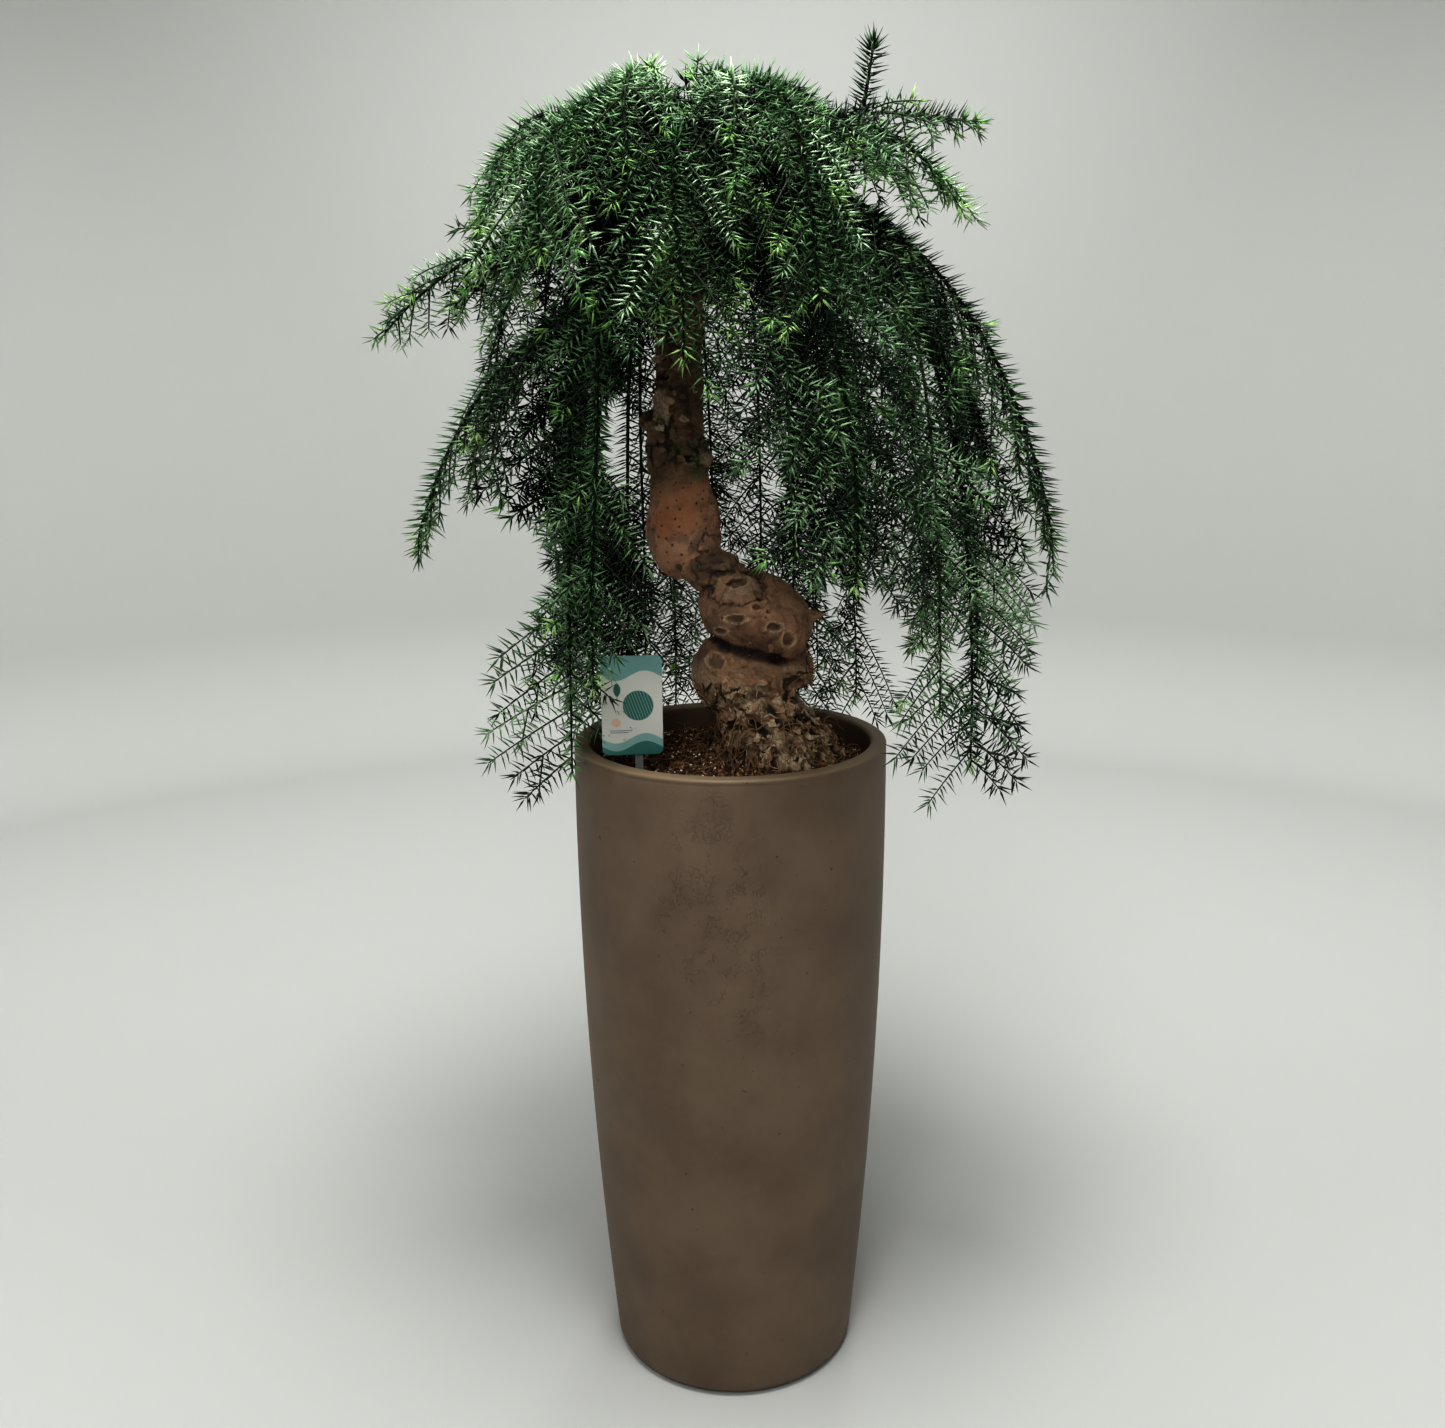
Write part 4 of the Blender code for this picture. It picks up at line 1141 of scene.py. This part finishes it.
def trunk_mesh():
    """The trunk with its bark's relief and tones: smooth bulb, cracked joints, fibrous flare, scaly stem."""
    body = trunk_skin()
    mesh = body.data
    mesh.update()
    moved, tones = [], []
    slant = Matrix.Rotation(math.radians(38), 3, "Y")
    for vertex in mesh.vertices:
        p, n = vertex.co, vertex.normal
        coarse = noise.noise(p * 38)
        middle = noise.noise(p * 95 + UP * 5)
        fine = noise.noise(p * 230)
        clump = noise.noise(p * 70 + UP * 31)
        in_bulb = clamp((1.16 - depth_in(p, BULB)) / 0.14) * clamp((0.974 - p.z) / 0.010)
        in_knot = clamp((1.20 - depth_in(p, KNOT)) / 0.16)
        flare = clamp((0.768 + 0.45 * (p.x - 0.02) - p.z) / 0.03) * (1 - in_knot)
        upper = clamp((p.z - 0.975) / 0.02)
        neck = hump(p.z, 0.994, 0.020)
        seam = hump(depth_in(p, ELBOW), 1.0, 0.22) * (1 - in_bulb * 0.8)
        joint = hump(depth_in(p, KNOT), 1.02, 0.10) * hump(depth_in(p, BARREL), 1.0, 0.16)
        q = slant @ p
        strand = 1 - abs(noise.noise(Vector((q.x * 170, q.y * 170, q.z * 26)))) * 2
        plate = noise.noise(Vector((p.x * 120, p.y * 120, p.z * 30 + 7)))
        crack = 1 - min(1.0, abs(noise.noise(p * 62 + UP * 11)) * 7)
        lift = (0.0022 * coarse + 0.0011 * middle + 0.0005 * fine) * (1 - 0.8 * in_bulb)
        lift += flare * (0.0030 * strand - 0.0014 + 0.0022 * middle + 0.0012 * fine + 0.0050 * clump)
        lift += upper * (0.0018 * plate + 0.0008 * fine)
        lift -= 0.0020 * crack * (neck + 0.7 * seam + 0.35 * in_knot + 0.15 * upper)
        lift += 0.0012 * (noise.cell(p * 120) - 0.5) * (neck + 0.6 * seam) - 0.0045 * joint
        warm = in_bulb * (0.85 + 0.3 * coarse) + in_knot * (0.25 + 0.5 * coarse)
        pale = flare * (0.20 + 0.5 * strand + 1.1 * clump)
        pale += 0.45 * clamp((0.79 - p.z) / 0.02) * (1 - in_knot) * (1 - flare)
        # The dark tone below is painted shade: in cracks, in the crease between knot and barrel, in the
        # flare's hollows, between the stem's plates and on the left of the flare's foot.
        dark = crack * (0.8 * neck + 0.7 * seam + 0.35 * in_knot + 0.15 * upper)
        dark += flare * clamp(-0.1 - 3.0 * clump + 0.8 * (0.5 - strand))
        dark += 0.9 * joint + 0.8 * clamp((0.716 - p.z) / 0.02) * clamp((0.035 - p.x) / 0.02)
        dark += 0.55 * upper * clamp(-plate * 2)
        rough = 0.28 * noise.noise(p * 150) + 0.14 * noise.noise(p * 380)
        lift, warm, pale, dark = scarred(from_front(p, n), rough, lift, warm, pale, dark, middle)
        moss = clamp(neck * (0.3 + 1.8 * noise.noise(p * 50 + UP * 21)), 0.0, 0.8)
        moved.append(p + n * lift)
        tones.append((clamp(warm), clamp(pale), clamp(dark, 0.0, 0.92), moss))
    mesh.vertices.foreach_set("co", np.array(moved, dtype=np.float32).reshape(-1))
    for key, values in zip(TONES, zip(*tones)):
        mesh.attributes.new(key, "FLOAT", "POINT").data.foreach_set("value", values)
    mesh.polygons.foreach_set("use_smooth", [True] * len(mesh.polygons))
    mesh.update()
    return body


def toned(name, parts):
    """Small pieces of bark as one object, each with its own tone: warm, pale, dark and moss."""
    made = mesh_object(name, *gather([(points, faces) for points, faces, tone in parts]))
    for place, key in enumerate(TONES):
        values = [tone[place] for points, faces, tone in parts for _ in points]
        made.data.attributes.new(key, "FLOAT", "POINT").data.foreach_set("value", values)
    return made


def flake(spot, normal, side, size, wide, rng):
    """One thin ragged plate of bark that lifts from the skin along one edge."""
    other = normal.cross(side)
    lift, bow = rng.uniform(0.05, 0.50), rng.uniform(-0.06, 0.16)
    rim = [(rng.uniform(0.60, 1.10), 2 * math.pi * k / 11) for k in range(11)]
    points = []
    for under in (0.0, 0.00055):
        for share in (0.0, 0.55, 1.0):
            for r, a in rim if share else rim[:1]:
                u, v = share * r * math.cos(a), share * r * math.sin(a) * wide
                height = 0.0009 + size * (lift * max(0.0, u + 0.35) ** 1.6 + bow * (1 - share)) - under
                points.append(spot + side * (u * size) + other * (v * size) + normal * height)
    faces = []
    for k in range(11):
        n = (k + 1) % 11
        faces.append((0, 1 + k, 1 + n))
        faces.append((1 + k, 12 + k, 12 + n, 1 + n))
        faces.append((12 + k, 35 + k, 35 + n, 12 + n))
        faces.append((24 + k, 24 + n, 35 + n, 35 + k))
        faces.append((23, 24 + n, 24 + k))
    return points, faces


def wart(spot, normal, radius):
    """A low round pore on smooth bark: a raised ring and a dark middle, as two parts."""
    side = normal.cross(UP + Vector((0.3, 0.1, 0))).normalized()
    parts = []
    for scale, low, high, tone in ((1.0, -0.0006, 0.0006, PORE_RING), (0.52, 0.0, 0.0009, PORE_MIDDLE)):
        size = radius * scale
        rings = [(low, size), (low + 0.6 * (high - low), size * 0.85), (high, size * 0.45)]
        parts.append((*tube([round_ring(spot + normal * h, normal, side, r, 9) for h, r in rings]), tone))
    return parts


def bark_scraps(skin, rng):
    """Plates that peel at the joints between swellings, and torn strands all over the foot of the trunk."""
    parts = []
    for centre, spread, count, size, tones in PEELING:
        axis = Vector((centre[0], -0.005, 0))
        for number in range(count * 2):
            swing = Matrix.Rotation((number % 2) * math.pi + rng.gauss(0, 0.5), 3, "Z")
            aim = Vector(centre[k] + rng.gauss(0, 0.5) * spread[k] for k in range(3))
            spot, normal = skin.find_nearest(axis + swing @ (aim - axis))[:2]
            if spot.z < SOIL_TOP + 0.004:
                continue
            side = normal.cross(Vector(rng.uniform(-1, 1) for _ in range(3))).normalized()
            made = flake(spot, normal, side, size * rng.uniform(0.6, 1.4), rng.uniform(0.5, 0.9), rng)
            parts.append((*made, rng.choice(tones)))
    spots = []
    for (centre, halves, lean), tries, apart in PORES:
        for _ in range(tries):
            aim = scattered(rng, 1).normalized()
            spot, normal = skin.find_nearest(Vector(centre[k] + aim[k] * halves[k] for k in range(3)))[:2]
            if PORES_LOW < spot.z < PORES_HIGH and all((spot - other).length > apart for other in spots):
                spots.append(spot)
                parts += wart(spot, normal, rng.uniform(0.0012, 0.0024))
    for _ in range(TORN_STRANDS):
        out, height = compass(rng.uniform(0, 2 * math.pi)), rng.uniform(0.688, 0.768)
        spot, normal = skin.find_nearest(Vector((0.045, -0.009, height)) + out * 0.075)[:2]
        heading = DOWN + out * 0.3 + Vector((-out.y, out.x, 0)) * rng.gauss(0, 0.7)
        line = []
        for _ in range(rng.randint(2, 6)):
            heading = (heading - normal * heading.dot(normal) + scattered(rng, 0.4)).normalized()
            line.append(spot + normal * rng.uniform(0.0002, 0.0016))
            spot, normal = skin.find_nearest(spot + heading * 0.0034)[:2]
        line.append(line[-1] + heading * 0.003 + normal * rng.uniform(0.0, 0.003))
        if min(point.z for point in line) < SOIL_TOP + 0.002:
            continue
        thick = rng.uniform(0.0004, 0.0018)
        radii = [thick * (0.35 + 0.65 * math.sin(math.pi * (k + 0.4) / len(line))) for k in range(len(line))]
        parts.append((*limb_tube(line, radii, 4), rng.choice((STRAW, STRAW, RUST, BROWN, SOOT))))
    return toned("bark_scraps", parts)


def bough_meshes(fronds):
    """Limbs from inside the trunk's skin to where the foliage begins, ridged and knobbed."""
    pieces = []
    for frond in fronds.values():
        inner = frond.start - (frond.at(0.01)[0] - frond.start).normalized() * 0.006
        line, radii = [inner], [BOUGH_RADII[0] * 1.6]
        count = max(8, round(frond.bough / 0.004))
        for i in range(count + 1):
            share = i / count
            line.append(frond.at(frond.bough * share)[0])
            swell = 1 + 0.45 * math.exp(-share * 9)
            radii.append((BOUGH_RADII[0] + (BOUGH_RADII[1] - BOUGH_RADII[0]) * share) * swell)
        points, faces = limb_tube(line, radii, 12)
        rough = []
        for k, point in enumerate(points):
            lift = 0.0006 * noise.noise(point * 160) + 0.0005 * noise.noise(point * 420)
            rough.append(point + (point - line[k // 12]).normalized() * lift)
        pieces.append((rough, faces))
    return gather(pieces)


# Planter and soil
def wall_radius(height):
    """The outer radius of the planter: a shallow curve through its foot, waist and rim."""
    t = height / POT_HEIGHT
    return FOOT_RADIUS * (1 - t) * (1 - 2 * t) + WAIST_RADIUS * 4 * t * (1 - t) + RIM_RADIUS * t * (2 * t - 1)


def planter_mesh():
    """Curved walls over a rounded foot, a rim with a fine lip, and a hollow inside."""
    foot = wall_radius(FOOT_ROUND)
    profile = [(0.0, 0.0), (foot - FOOT_ROUND - 0.004, 0.0)]
    for i in range(9):
        a = math.pi / 2 * i / 8
        profile.append((foot - FOOT_ROUND * (1 - math.sin(a)), FOOT_ROUND * (1 - math.cos(a))))
    for i in range(1, 45):
        height = FOOT_ROUND + (RIM_ROWS[0][1] - 0.001 - FOOT_ROUND) * i / 44
        profile.append((wall_radius(height), height))
    profile += [(RIM_RADIUS + past, height) for past, height in RIM_ROWS]
    for i in range(1, 12):
        height = 0.696 - 0.04 * i / 11
        profile.append((wall_radius(height) - WALL, height))
    profile += [(wall_radius(0.30) - WALL, 0.30), (wall_radius(FLOOR) - WALL - 0.006, FLOOR), (0.0, FLOOR)]
    return spun(profile, 192)


def planter_look():
    """Stone-composite plastic: taupe, matte, finely mottled, with a patch of raised crazing on the front."""
    look, tree, shader = surface("moulded stone-composite plastic", "715E47", 0.55, Specular_IOR_Level=0.4)
    place = put(tree, "ShaderNodeTexCoord").outputs["Object"]
    x, y, z = put(tree, "ShaderNodeSeparateXYZ", None, Vector=place).outputs
    cloud = noise_of(tree, 9, 4, 0.6)
    grit = noise_of(tree, 900, 3, 0.6)
    speck = noise_of(tree, 150, 2, 0.5)
    colour = blend(ramp(cloud, 0.3, 0.7), "5F4F41", "6E5E4E")
    colour = dab(colour, "302923", speck, 0.70, 0.78, 0.6)
    colour = dab(colour, "7D7163", grit, 0.55, 0.75, 0.18)
    # Painted highlight: the rim's top paler.
    colour = dab(colour, "98866B", z, 0.6965, 0.6992, 0.5)
    tree.links.new(colour, shader.inputs["Base Color"])
    tree.links.new(plus(times(cloud, 0.16), 0.46), shader.inputs["Roughness"])
    # The crazing: thin raised veins, in clusters, inside a slanting oval on the front
    worm = noise_of(tree, 250, 2, 0.5, (1, 1, 0.75))
    vein = minus(1.0, ramp(maths("ABSOLUTE", minus(worm, 0.5)), 0.0, 0.07))
    vein = times(vein, ramp(noise_of(tree, 48, 3, 0.6), 0.46, 0.60))
    slant = times(minus(0.69, z), 0.16)
    across = times(minus(plus(x, 0.034), slant), 15.0)
    upward = times(minus(z, 0.560), 6.0)
    far = plus(times(across, across), times(upward, upward))
    far = plus(far, times(minus(cloud, 0.5), 1.6))
    patch = times(minus(1.0, ramp(far, 0.25, 1.1)), ramp(y, 0.0, -0.05))
    height = plus(times(grit, 0.16), times(vein, patch))
    height = minus(height, times(ramp(speck, 0.70, 0.78), 0.6))
    bump(tree, shader, height, 0.0007)
    return look


def soil_surface():
    """The top of the soil, a little lower towards the wall, as points and faces."""
    rings, sides, points, faces = 46, SOIL_SIDES, [], []
    edge = RIM_RADIUS - WALL - 0.0004
    for r in range(rings + 1):
        radius = edge * (r / rings)
        fall = SOIL_FALL * max(0.0, radius - SOIL_FLAT_RADIUS) / (edge - SOIL_FLAT_RADIUS)
        for k in range(sides):
            a = 2 * math.pi * k / sides
            p = Vector((radius * math.cos(a), radius * math.sin(a), 0))
            rough = sum(height * noise.noise(p * fine) for height, fine in SOIL_WAVES)
            mound = 0.006 * hump(p.x, 0.045, 0.075) * hump(p.y, -0.01, 0.07)
            points.append((p.x, p.y, SOIL_TOP - fall + rough + mound))
    for r in range(rings):
        for k in range(sides):
            n = (k + 1) % sides
            faces.append((r * sides + k, (r + 1) * sides + k, (r + 1) * sides + n, r * sides + n))
    return points, faces


def soil_mesh():
    """The soil's top closed by a short wall and a flat underside."""
    points, faces = soil_surface()
    first, sides = len(points), SOIL_SIDES
    points += [(x, y, SOIL_TOP - 0.030) for x, y, z in points[-sides:]]
    for k in range(sides):
        n = (k + 1) % sides
        faces.append((first - sides + k, first + k, first + n, first - sides + n))
    faces.append(tuple(first + k for k in range(sides))[::-1])
    return points, faces


def crumb_shape(name, rng, stretch, look):
    """A small angular crumb, one unit across."""
    points, faces = ellipsoid((0, 0, 0), (0.5, 0.5, 0.5), 0, 6, 4)
    points = [Vector(p[k] * stretch[k] * rng.uniform(0.72, 1.15) for k in range(3)) for p in points]
    return mesh_object(name, points, faces, look)


def crumb_tree():
    """Crumbs scattered over a surface, turned at random."""
    inputs = {
        "Per square metre": ("Float", 60000.0),
        "Smallest": ("Float", 0.002),
        "Largest": ("Float", 0.006),
        "Seed": ("Int", 1),
        "Crumb": ("Object", None),
    }
    tree, into = new_tree("crumbs over soil", **inputs)
    links = {"Mesh": into["Geometry"], "Density": into["Per square metre"], "Seed": into["Seed"]}
    random_spots = {"distribute_method": "RANDOM"}
    spots = put(tree, "GeometryNodeDistributePointsOnFaces", random_spots, **links).outputs["Points"]
    full = (6.283,) * 3
    turn = put(tree, "FunctionNodeRandomValue", {"data_type": "FLOAT_VECTOR"}, i1=full).outputs[0]
    size = random_between(tree, into["Smallest"], into["Largest"], 4)
    done = realized(tree, instances(tree, spots, into["Crumb"], turn, size))
    tree.links.new(done, put(tree, "NodeGroupOutput").inputs[0])
    return tree


def root_hairs(skin, rng):
    """Fine pale roots that hang from the flare, and others that lie on the soil."""
    pieces = []
    for _ in range(HANGING_ROOTS):
        out = compass(rng.uniform(0, 2 * math.pi))
        height = SOIL_TOP + 0.004 + 0.055 * rng.uniform(0.0, 1.0) ** 1.5
        start = Vector((0.046 + 0.05 * out.x, -0.01 + 0.046 * out.y, height))
        spot, normal = skin.find_nearest(start)[:2]
        heading = (normal + Vector((rng.gauss(0, 0.5), rng.gauss(0, 0.5), -0.2))).normalized()
        line = [spot - normal * 0.001]
        for i in range(rng.randint(8, 16)):
            heading = (heading + DOWN * 0.35 + scattered(rng, 0.30)).normalized()
            point = line[-1] + heading * 0.0042
            floor = SOIL_TOP + 0.0015 + 0.003 * noise.noise(point * 60)
            if point.z < floor:
                point.z = floor
                heading.z = abs(heading.z) * 0.2
            if math.hypot(point.x, point.y) > HANGING_WITHIN:
                break
            line.append(point)
        if len(line) > 4:
            thick = rng.uniform(0.00035, 0.0009)
            pieces.append(limb_tube(line, [thick * (1 - 0.6 * i / len(line)) for i in range(len(line))], 5))
    for _ in range(LYING_ROOTS):
        point = compass(rng.uniform(0, 2 * math.pi)) * (LYING_FROM * math.sqrt(rng.random()))
        heading = Vector((rng.gauss(0, 1), rng.gauss(0, 1), 0)).normalized()
        line = [point + UP * (SOIL_TOP + 0.003)]
        for i in range(rng.randint(5, 11)):
            heading = (heading + Vector(rng.gauss(0, bend) for bend in (0.5, 0.5, 0.25))).normalized()
            point = line[-1] + heading * 0.0036
            point.z = clamp(point.z, SOIL_TOP - 0.001, SOIL_TOP + 0.008)
            if math.hypot(point.x, point.y) > LYING_WITHIN:
                break
            line.append(point)
        if len(line) > 3:
            thick = rng.uniform(0.0003, 0.0007)
            pieces.append(limb_tube(line, [thick] * len(line), 4))
    return gather(pieces)


# Label
def card_piece():
    """The label's card, with a flat map of its face from 0 to 1 each way."""
    half_w, half_h = CARD_SIZE[0] / 2, CARD_SIZE[2] / 2
    outline = []
    for x, z, start in ((1, 1, 0), (-1, 1, 90), (-1, -1, 180), (1, -1, 270)):
        for k in range(9):
            bend = compass(math.radians(start + 90 * k / 8)) * CARD_ROUND
            outline.append((x * (half_w - CARD_ROUND) + bend.x, z * (half_h - CARD_ROUND) + bend.y))
    turn = Matrix.Rotation(math.radians(CARD_TURN), 3, "Z")
    rings = []
    for y, inset in ((0.5, 0.0004), (0.3, 0.0), (-0.3, 0.0), (-0.5, 0.0004)):
        shrink = 1 - inset / half_w
        level = y * CARD_SIZE[1]
        rings.append([CARD_CENTRE + turn @ Vector((x * shrink, level, z * shrink)) for x, z in outline])
    made = mesh_object("label_card_look", *tube(rings))
    layer = made.data.uv_layers.new(name="face")
    back = turn.transposed()
    for loop in made.data.loops:
        local = back @ (made.data.vertices[loop.vertex_index].co - CARD_CENTRE)
        layer.data[loop.index].uv = (local.x / CARD_SIZE[0] + 0.5, local.z / CARD_SIZE[2] + 0.5)
    return made


def card_look():
    """Satin card, printed: pale ground, bands of teal, a plain leaf sprig and a round mark with stripes."""
    look, tree, shader = surface("printed card", "C1C1BA", 0.38)
    place = put(tree, "ShaderNodeUVMap", {"uv_map": "face"}).outputs[0]
    parts = put(tree, "ShaderNodeSeparateXYZ", None, Vector=place).outputs
    u, v = times(parts["X"], CARD_SIZE[0] / CARD_SIZE[2]), parts["Y"]

    def disc(x, y, radius):
        dx, dy = minus(u, x), minus(v, y)
        far = maths("SQRT", plus(times(dx, dx), times(dy, dy)))
        return minus(1.0, ramp(far, radius - 0.004, radius + 0.004))

    def strip(value, low, high):
        past = ramp(value, high - 0.003, high + 0.003)
        return times(ramp(value, low - 0.003, low + 0.003), minus(1.0, past))

    wave = plus(v, times(maths("SINE", times(u, 11.0)), 0.05))
    colour = blend(strip(wave, 0.80, 1.2), "C1C1BA", "6E9694")
    colour = blend(strip(wave, -0.2, 0.17), colour, "7CA19D")
    colour = blend(strip(wave, -0.2, 0.09), colour, "366C65")
    round_mark = disc(0.36, 0.50, 0.15)
    colour = blend(round_mark, colour, "285D56")
    slanted = maths("FRACT", times(plus(u, times(v, 0.35)), 34.0))
    stripes = times(times(strip(slanted, 0.30, 0.60), round_mark), 0.6)
    colour = blend(stripes, colour, "7CA499")
    colour = blend(disc(0.14, 0.33, 0.045), colour, "C7AB94")
    leaf = times(disc(0.10, 0.66, 0.09), disc(0.21, 0.66, 0.09))
    stalk = times(strip(u, 0.152, 0.158), strip(v, 0.54, 0.66))
    colour = blend(leaf, colour, "285D56")
    colour = blend(stalk, colour, "285D56")
    for height, end in ((0.245, 0.30), (0.225, 0.26)):
        bar = times(strip(v, height, height + 0.008), strip(u, 0.08, end))
        colour = blend(bar, colour, "6A7270")
    tree.links.new(colour, shader.inputs["Base Color"])
    return look


# Studio
def stage():
    """A pale round floor that sweeps up into a wall on all sides, soft lights, and the photo's camera."""
    profile = [(0.0, 0.0), (1.2, 0.0), (STAGE_RADIUS - STAGE_SWEEP, 0.0)]
    for i in range(1, 13):
        a = math.pi / 2 * i / 12
        profile.append((STAGE_RADIUS - STAGE_SWEEP * (1 - math.sin(a)), STAGE_SWEEP * (1 - math.cos(a))))
    profile += [(STAGE_RADIUS, 2.0), (STAGE_RADIUS, 4.5)]
    paint = surface("pale studio wall", "B5B6B3", 0.9)[0]
    mesh_object("studio", *spun(profile, 96), paint, smooth=True)
    world = bpy.data.worlds.new("soft room light")
    bpy.context.scene.world = world
    world.use_nodes = True
    sky = world.node_tree.nodes["Background"]
    sky.inputs["Color"].default_value = linear("F2F5FA")
    sky.inputs["Strength"].default_value = 0.01
    lights = [(*row, 180) for row in LAMPS]
    count, ring, height, *rest = WALL_LAMPS
    for k in range(count):
        out = compass(math.radians(90 + 360 / count * k))
        lights.append(("wall_light_%d" % k, out * ring + UP * height, out * STAGE_RADIUS, *rest))
    for name, place, aim, size, power, spread in lights:
        lamp = bpy.data.lights.new(name, "AREA")
        lamp.shape = "DISK"
        lamp.size = size
        lamp.energy = power
        lamp.spread = math.radians(spread)
        made = placed(name, lamp)
        made.location = place
        made.rotation_euler = (Vector(aim) - Vector(place)).to_track_quat("-Z", "Y").to_euler()
    pitch, roll = math.radians(CAMERA_PITCH), math.radians(CAMERA_ROLL)
    onward = Vector((0, math.cos(pitch), -math.sin(pitch)))
    level_up = Vector((0, math.sin(pitch), math.cos(pitch)))
    right = Vector((1, 0, 0)) * math.cos(roll) + level_up * math.sin(roll)
    upright = level_up * math.cos(roll) - Vector((1, 0, 0)) * math.sin(roll)
    lens = bpy.data.cameras.new("camera")
    lens.sensor_width = 36
    lens.lens = CAMERA_LENS
    eye = placed("camera", lens)
    turned = Matrix((right, upright, -onward)).transposed().to_4x4()
    eye.matrix_world = Matrix.Translation(CAMERA_PLACE) @ turned
    bpy.context.scene.camera = eye
    bpy.context.scene.view_settings.view_transform = "Standard"
    bpy.context.scene.view_settings.look = "High Contrast"


def add_bark(fronds, rng):
    """The trunk, its loose bark, its fine roots, and the boughs."""
    bark = bark_look()
    trunk = trunk_mesh()
    skin = tree_over(trunk.data)
    for piece in (trunk, bark_scraps(skin, rng)):
        piece.data.materials.append(bark)
        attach(piece, "root")
    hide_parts("trunk")
    dry = surface("dry root", "8A7050", 0.85)[0]
    hairs = mesh_object("root_hairs", *root_hairs(skin, rng), dry, smooth=True)
    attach(hairs, "root")
    boughs = mesh_object("bough_skins", *bough_meshes(fronds), bough_look(), smooth=True)
    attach(boughs, "root")
    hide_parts(*[name + "_bough" for name in FRONDS])


def add_foliage(fronds, rng):
    """Needles and twigs of a few fronds at a time; all of them grow before the inner ones get painted shade.
    """
    keep = Keep()
    names = list(FRONDS)
    grown = []
    for first in range(0, len(names), FRONDS_IN_PIECE):
        group = names[first : first + FRONDS_IN_PIECE]
        store = grow(group, fronds, rng, keep)
        if "top_right" in group:
            grow_leader(store, fronds["top_right"])
        if "left_top" in group:
            grow_crown_tip(store, rng)
        if "left_fan" in group:
            grow_stubs(store, rng)
        grown.append((group, store))
    paint_inner_shade([store for group, store in grown], rng)
    shape = needle_shape()
    needles_of = needle_tree(*needle_looks())
    twigs_of = twig_tree(surface("green shoot bark", "1F2E14", 0.65)[0])
    for number, (group, store) in enumerate(grown):
        leaves = by_nodes(lines_object("needles_%d" % number, store), needles_of, {"Needle": shape})
        twigs = by_nodes(lines_object("twigs_%d" % number, store), twigs_of, {})
        for piece, slot in ((leaves, "needles_mid"), (twigs, "twig_bark")):
            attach(piece, "root")
        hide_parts(*[name + "_needles" for name in group + ["crown_tip"] * ("left_top" in group)])
    bpy.data.objects.remove(shape)


def add_soil(rng):
    """The soil, with crumbs of bark and perlite on it."""
    earth, tree, shader = surface("damp peat and bark", "241A13", 0.92)
    tint = noise_of(tree, 180, 4, 0.65)
    tree.links.new(blend(ramp(tint, 0.35, 0.65), "1E150E", "4C3828"), shader.inputs["Base Color"])
    bump(tree, shader, noise_of(tree, 500, 4, 0.6), 0.0015)
    soil = mesh_object("soil_look", *soil_mesh(), earth, smooth=True)
    pieces = [soil]
    crumbs_of = crumb_tree()
    for number, (name, code, stretch, density, low, high) in enumerate(CRUMBS):
        shape = crumb_shape(name.replace(" ", "_"), rng, stretch, surface(name, code, 0.9)[0])
        bed = mesh_object("crumbs_%d" % number, *soil_surface())
        sizes = {"Per square metre": density, "Smallest": low, "Largest": high, "Seed": number + 2}
        pieces.append(by_nodes(bed, crumbs_of, {"Crumb": shape, **sizes}))
        bpy.data.objects.remove(shape)
    for piece in pieces:
        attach(piece, "root")
    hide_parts("soil")


def main():
    rng = random.Random(SEED)
    stage()
    fronds = {name: Frond(*row) for name, row in FRONDS.items()}
    add_bark(fronds, rng)
    add_foliage(fronds, rng)

    planter = mesh_object("planter", *planter_mesh(), planter_look(), smooth=True)
    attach(planter, "root")
    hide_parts("pot")

    add_soil(rng)

    card = card_piece()
    card.data.materials.append(card_look())
    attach(card, "root")
    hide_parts("label_card")
    stake = CAD["label_stake"].data.materials
    stake.clear()
    stake.append(surface("clear grey plastic", "B4BBBA", 0.18, Transmission_Weight=0.65, IOR=1.49)[0])


main()
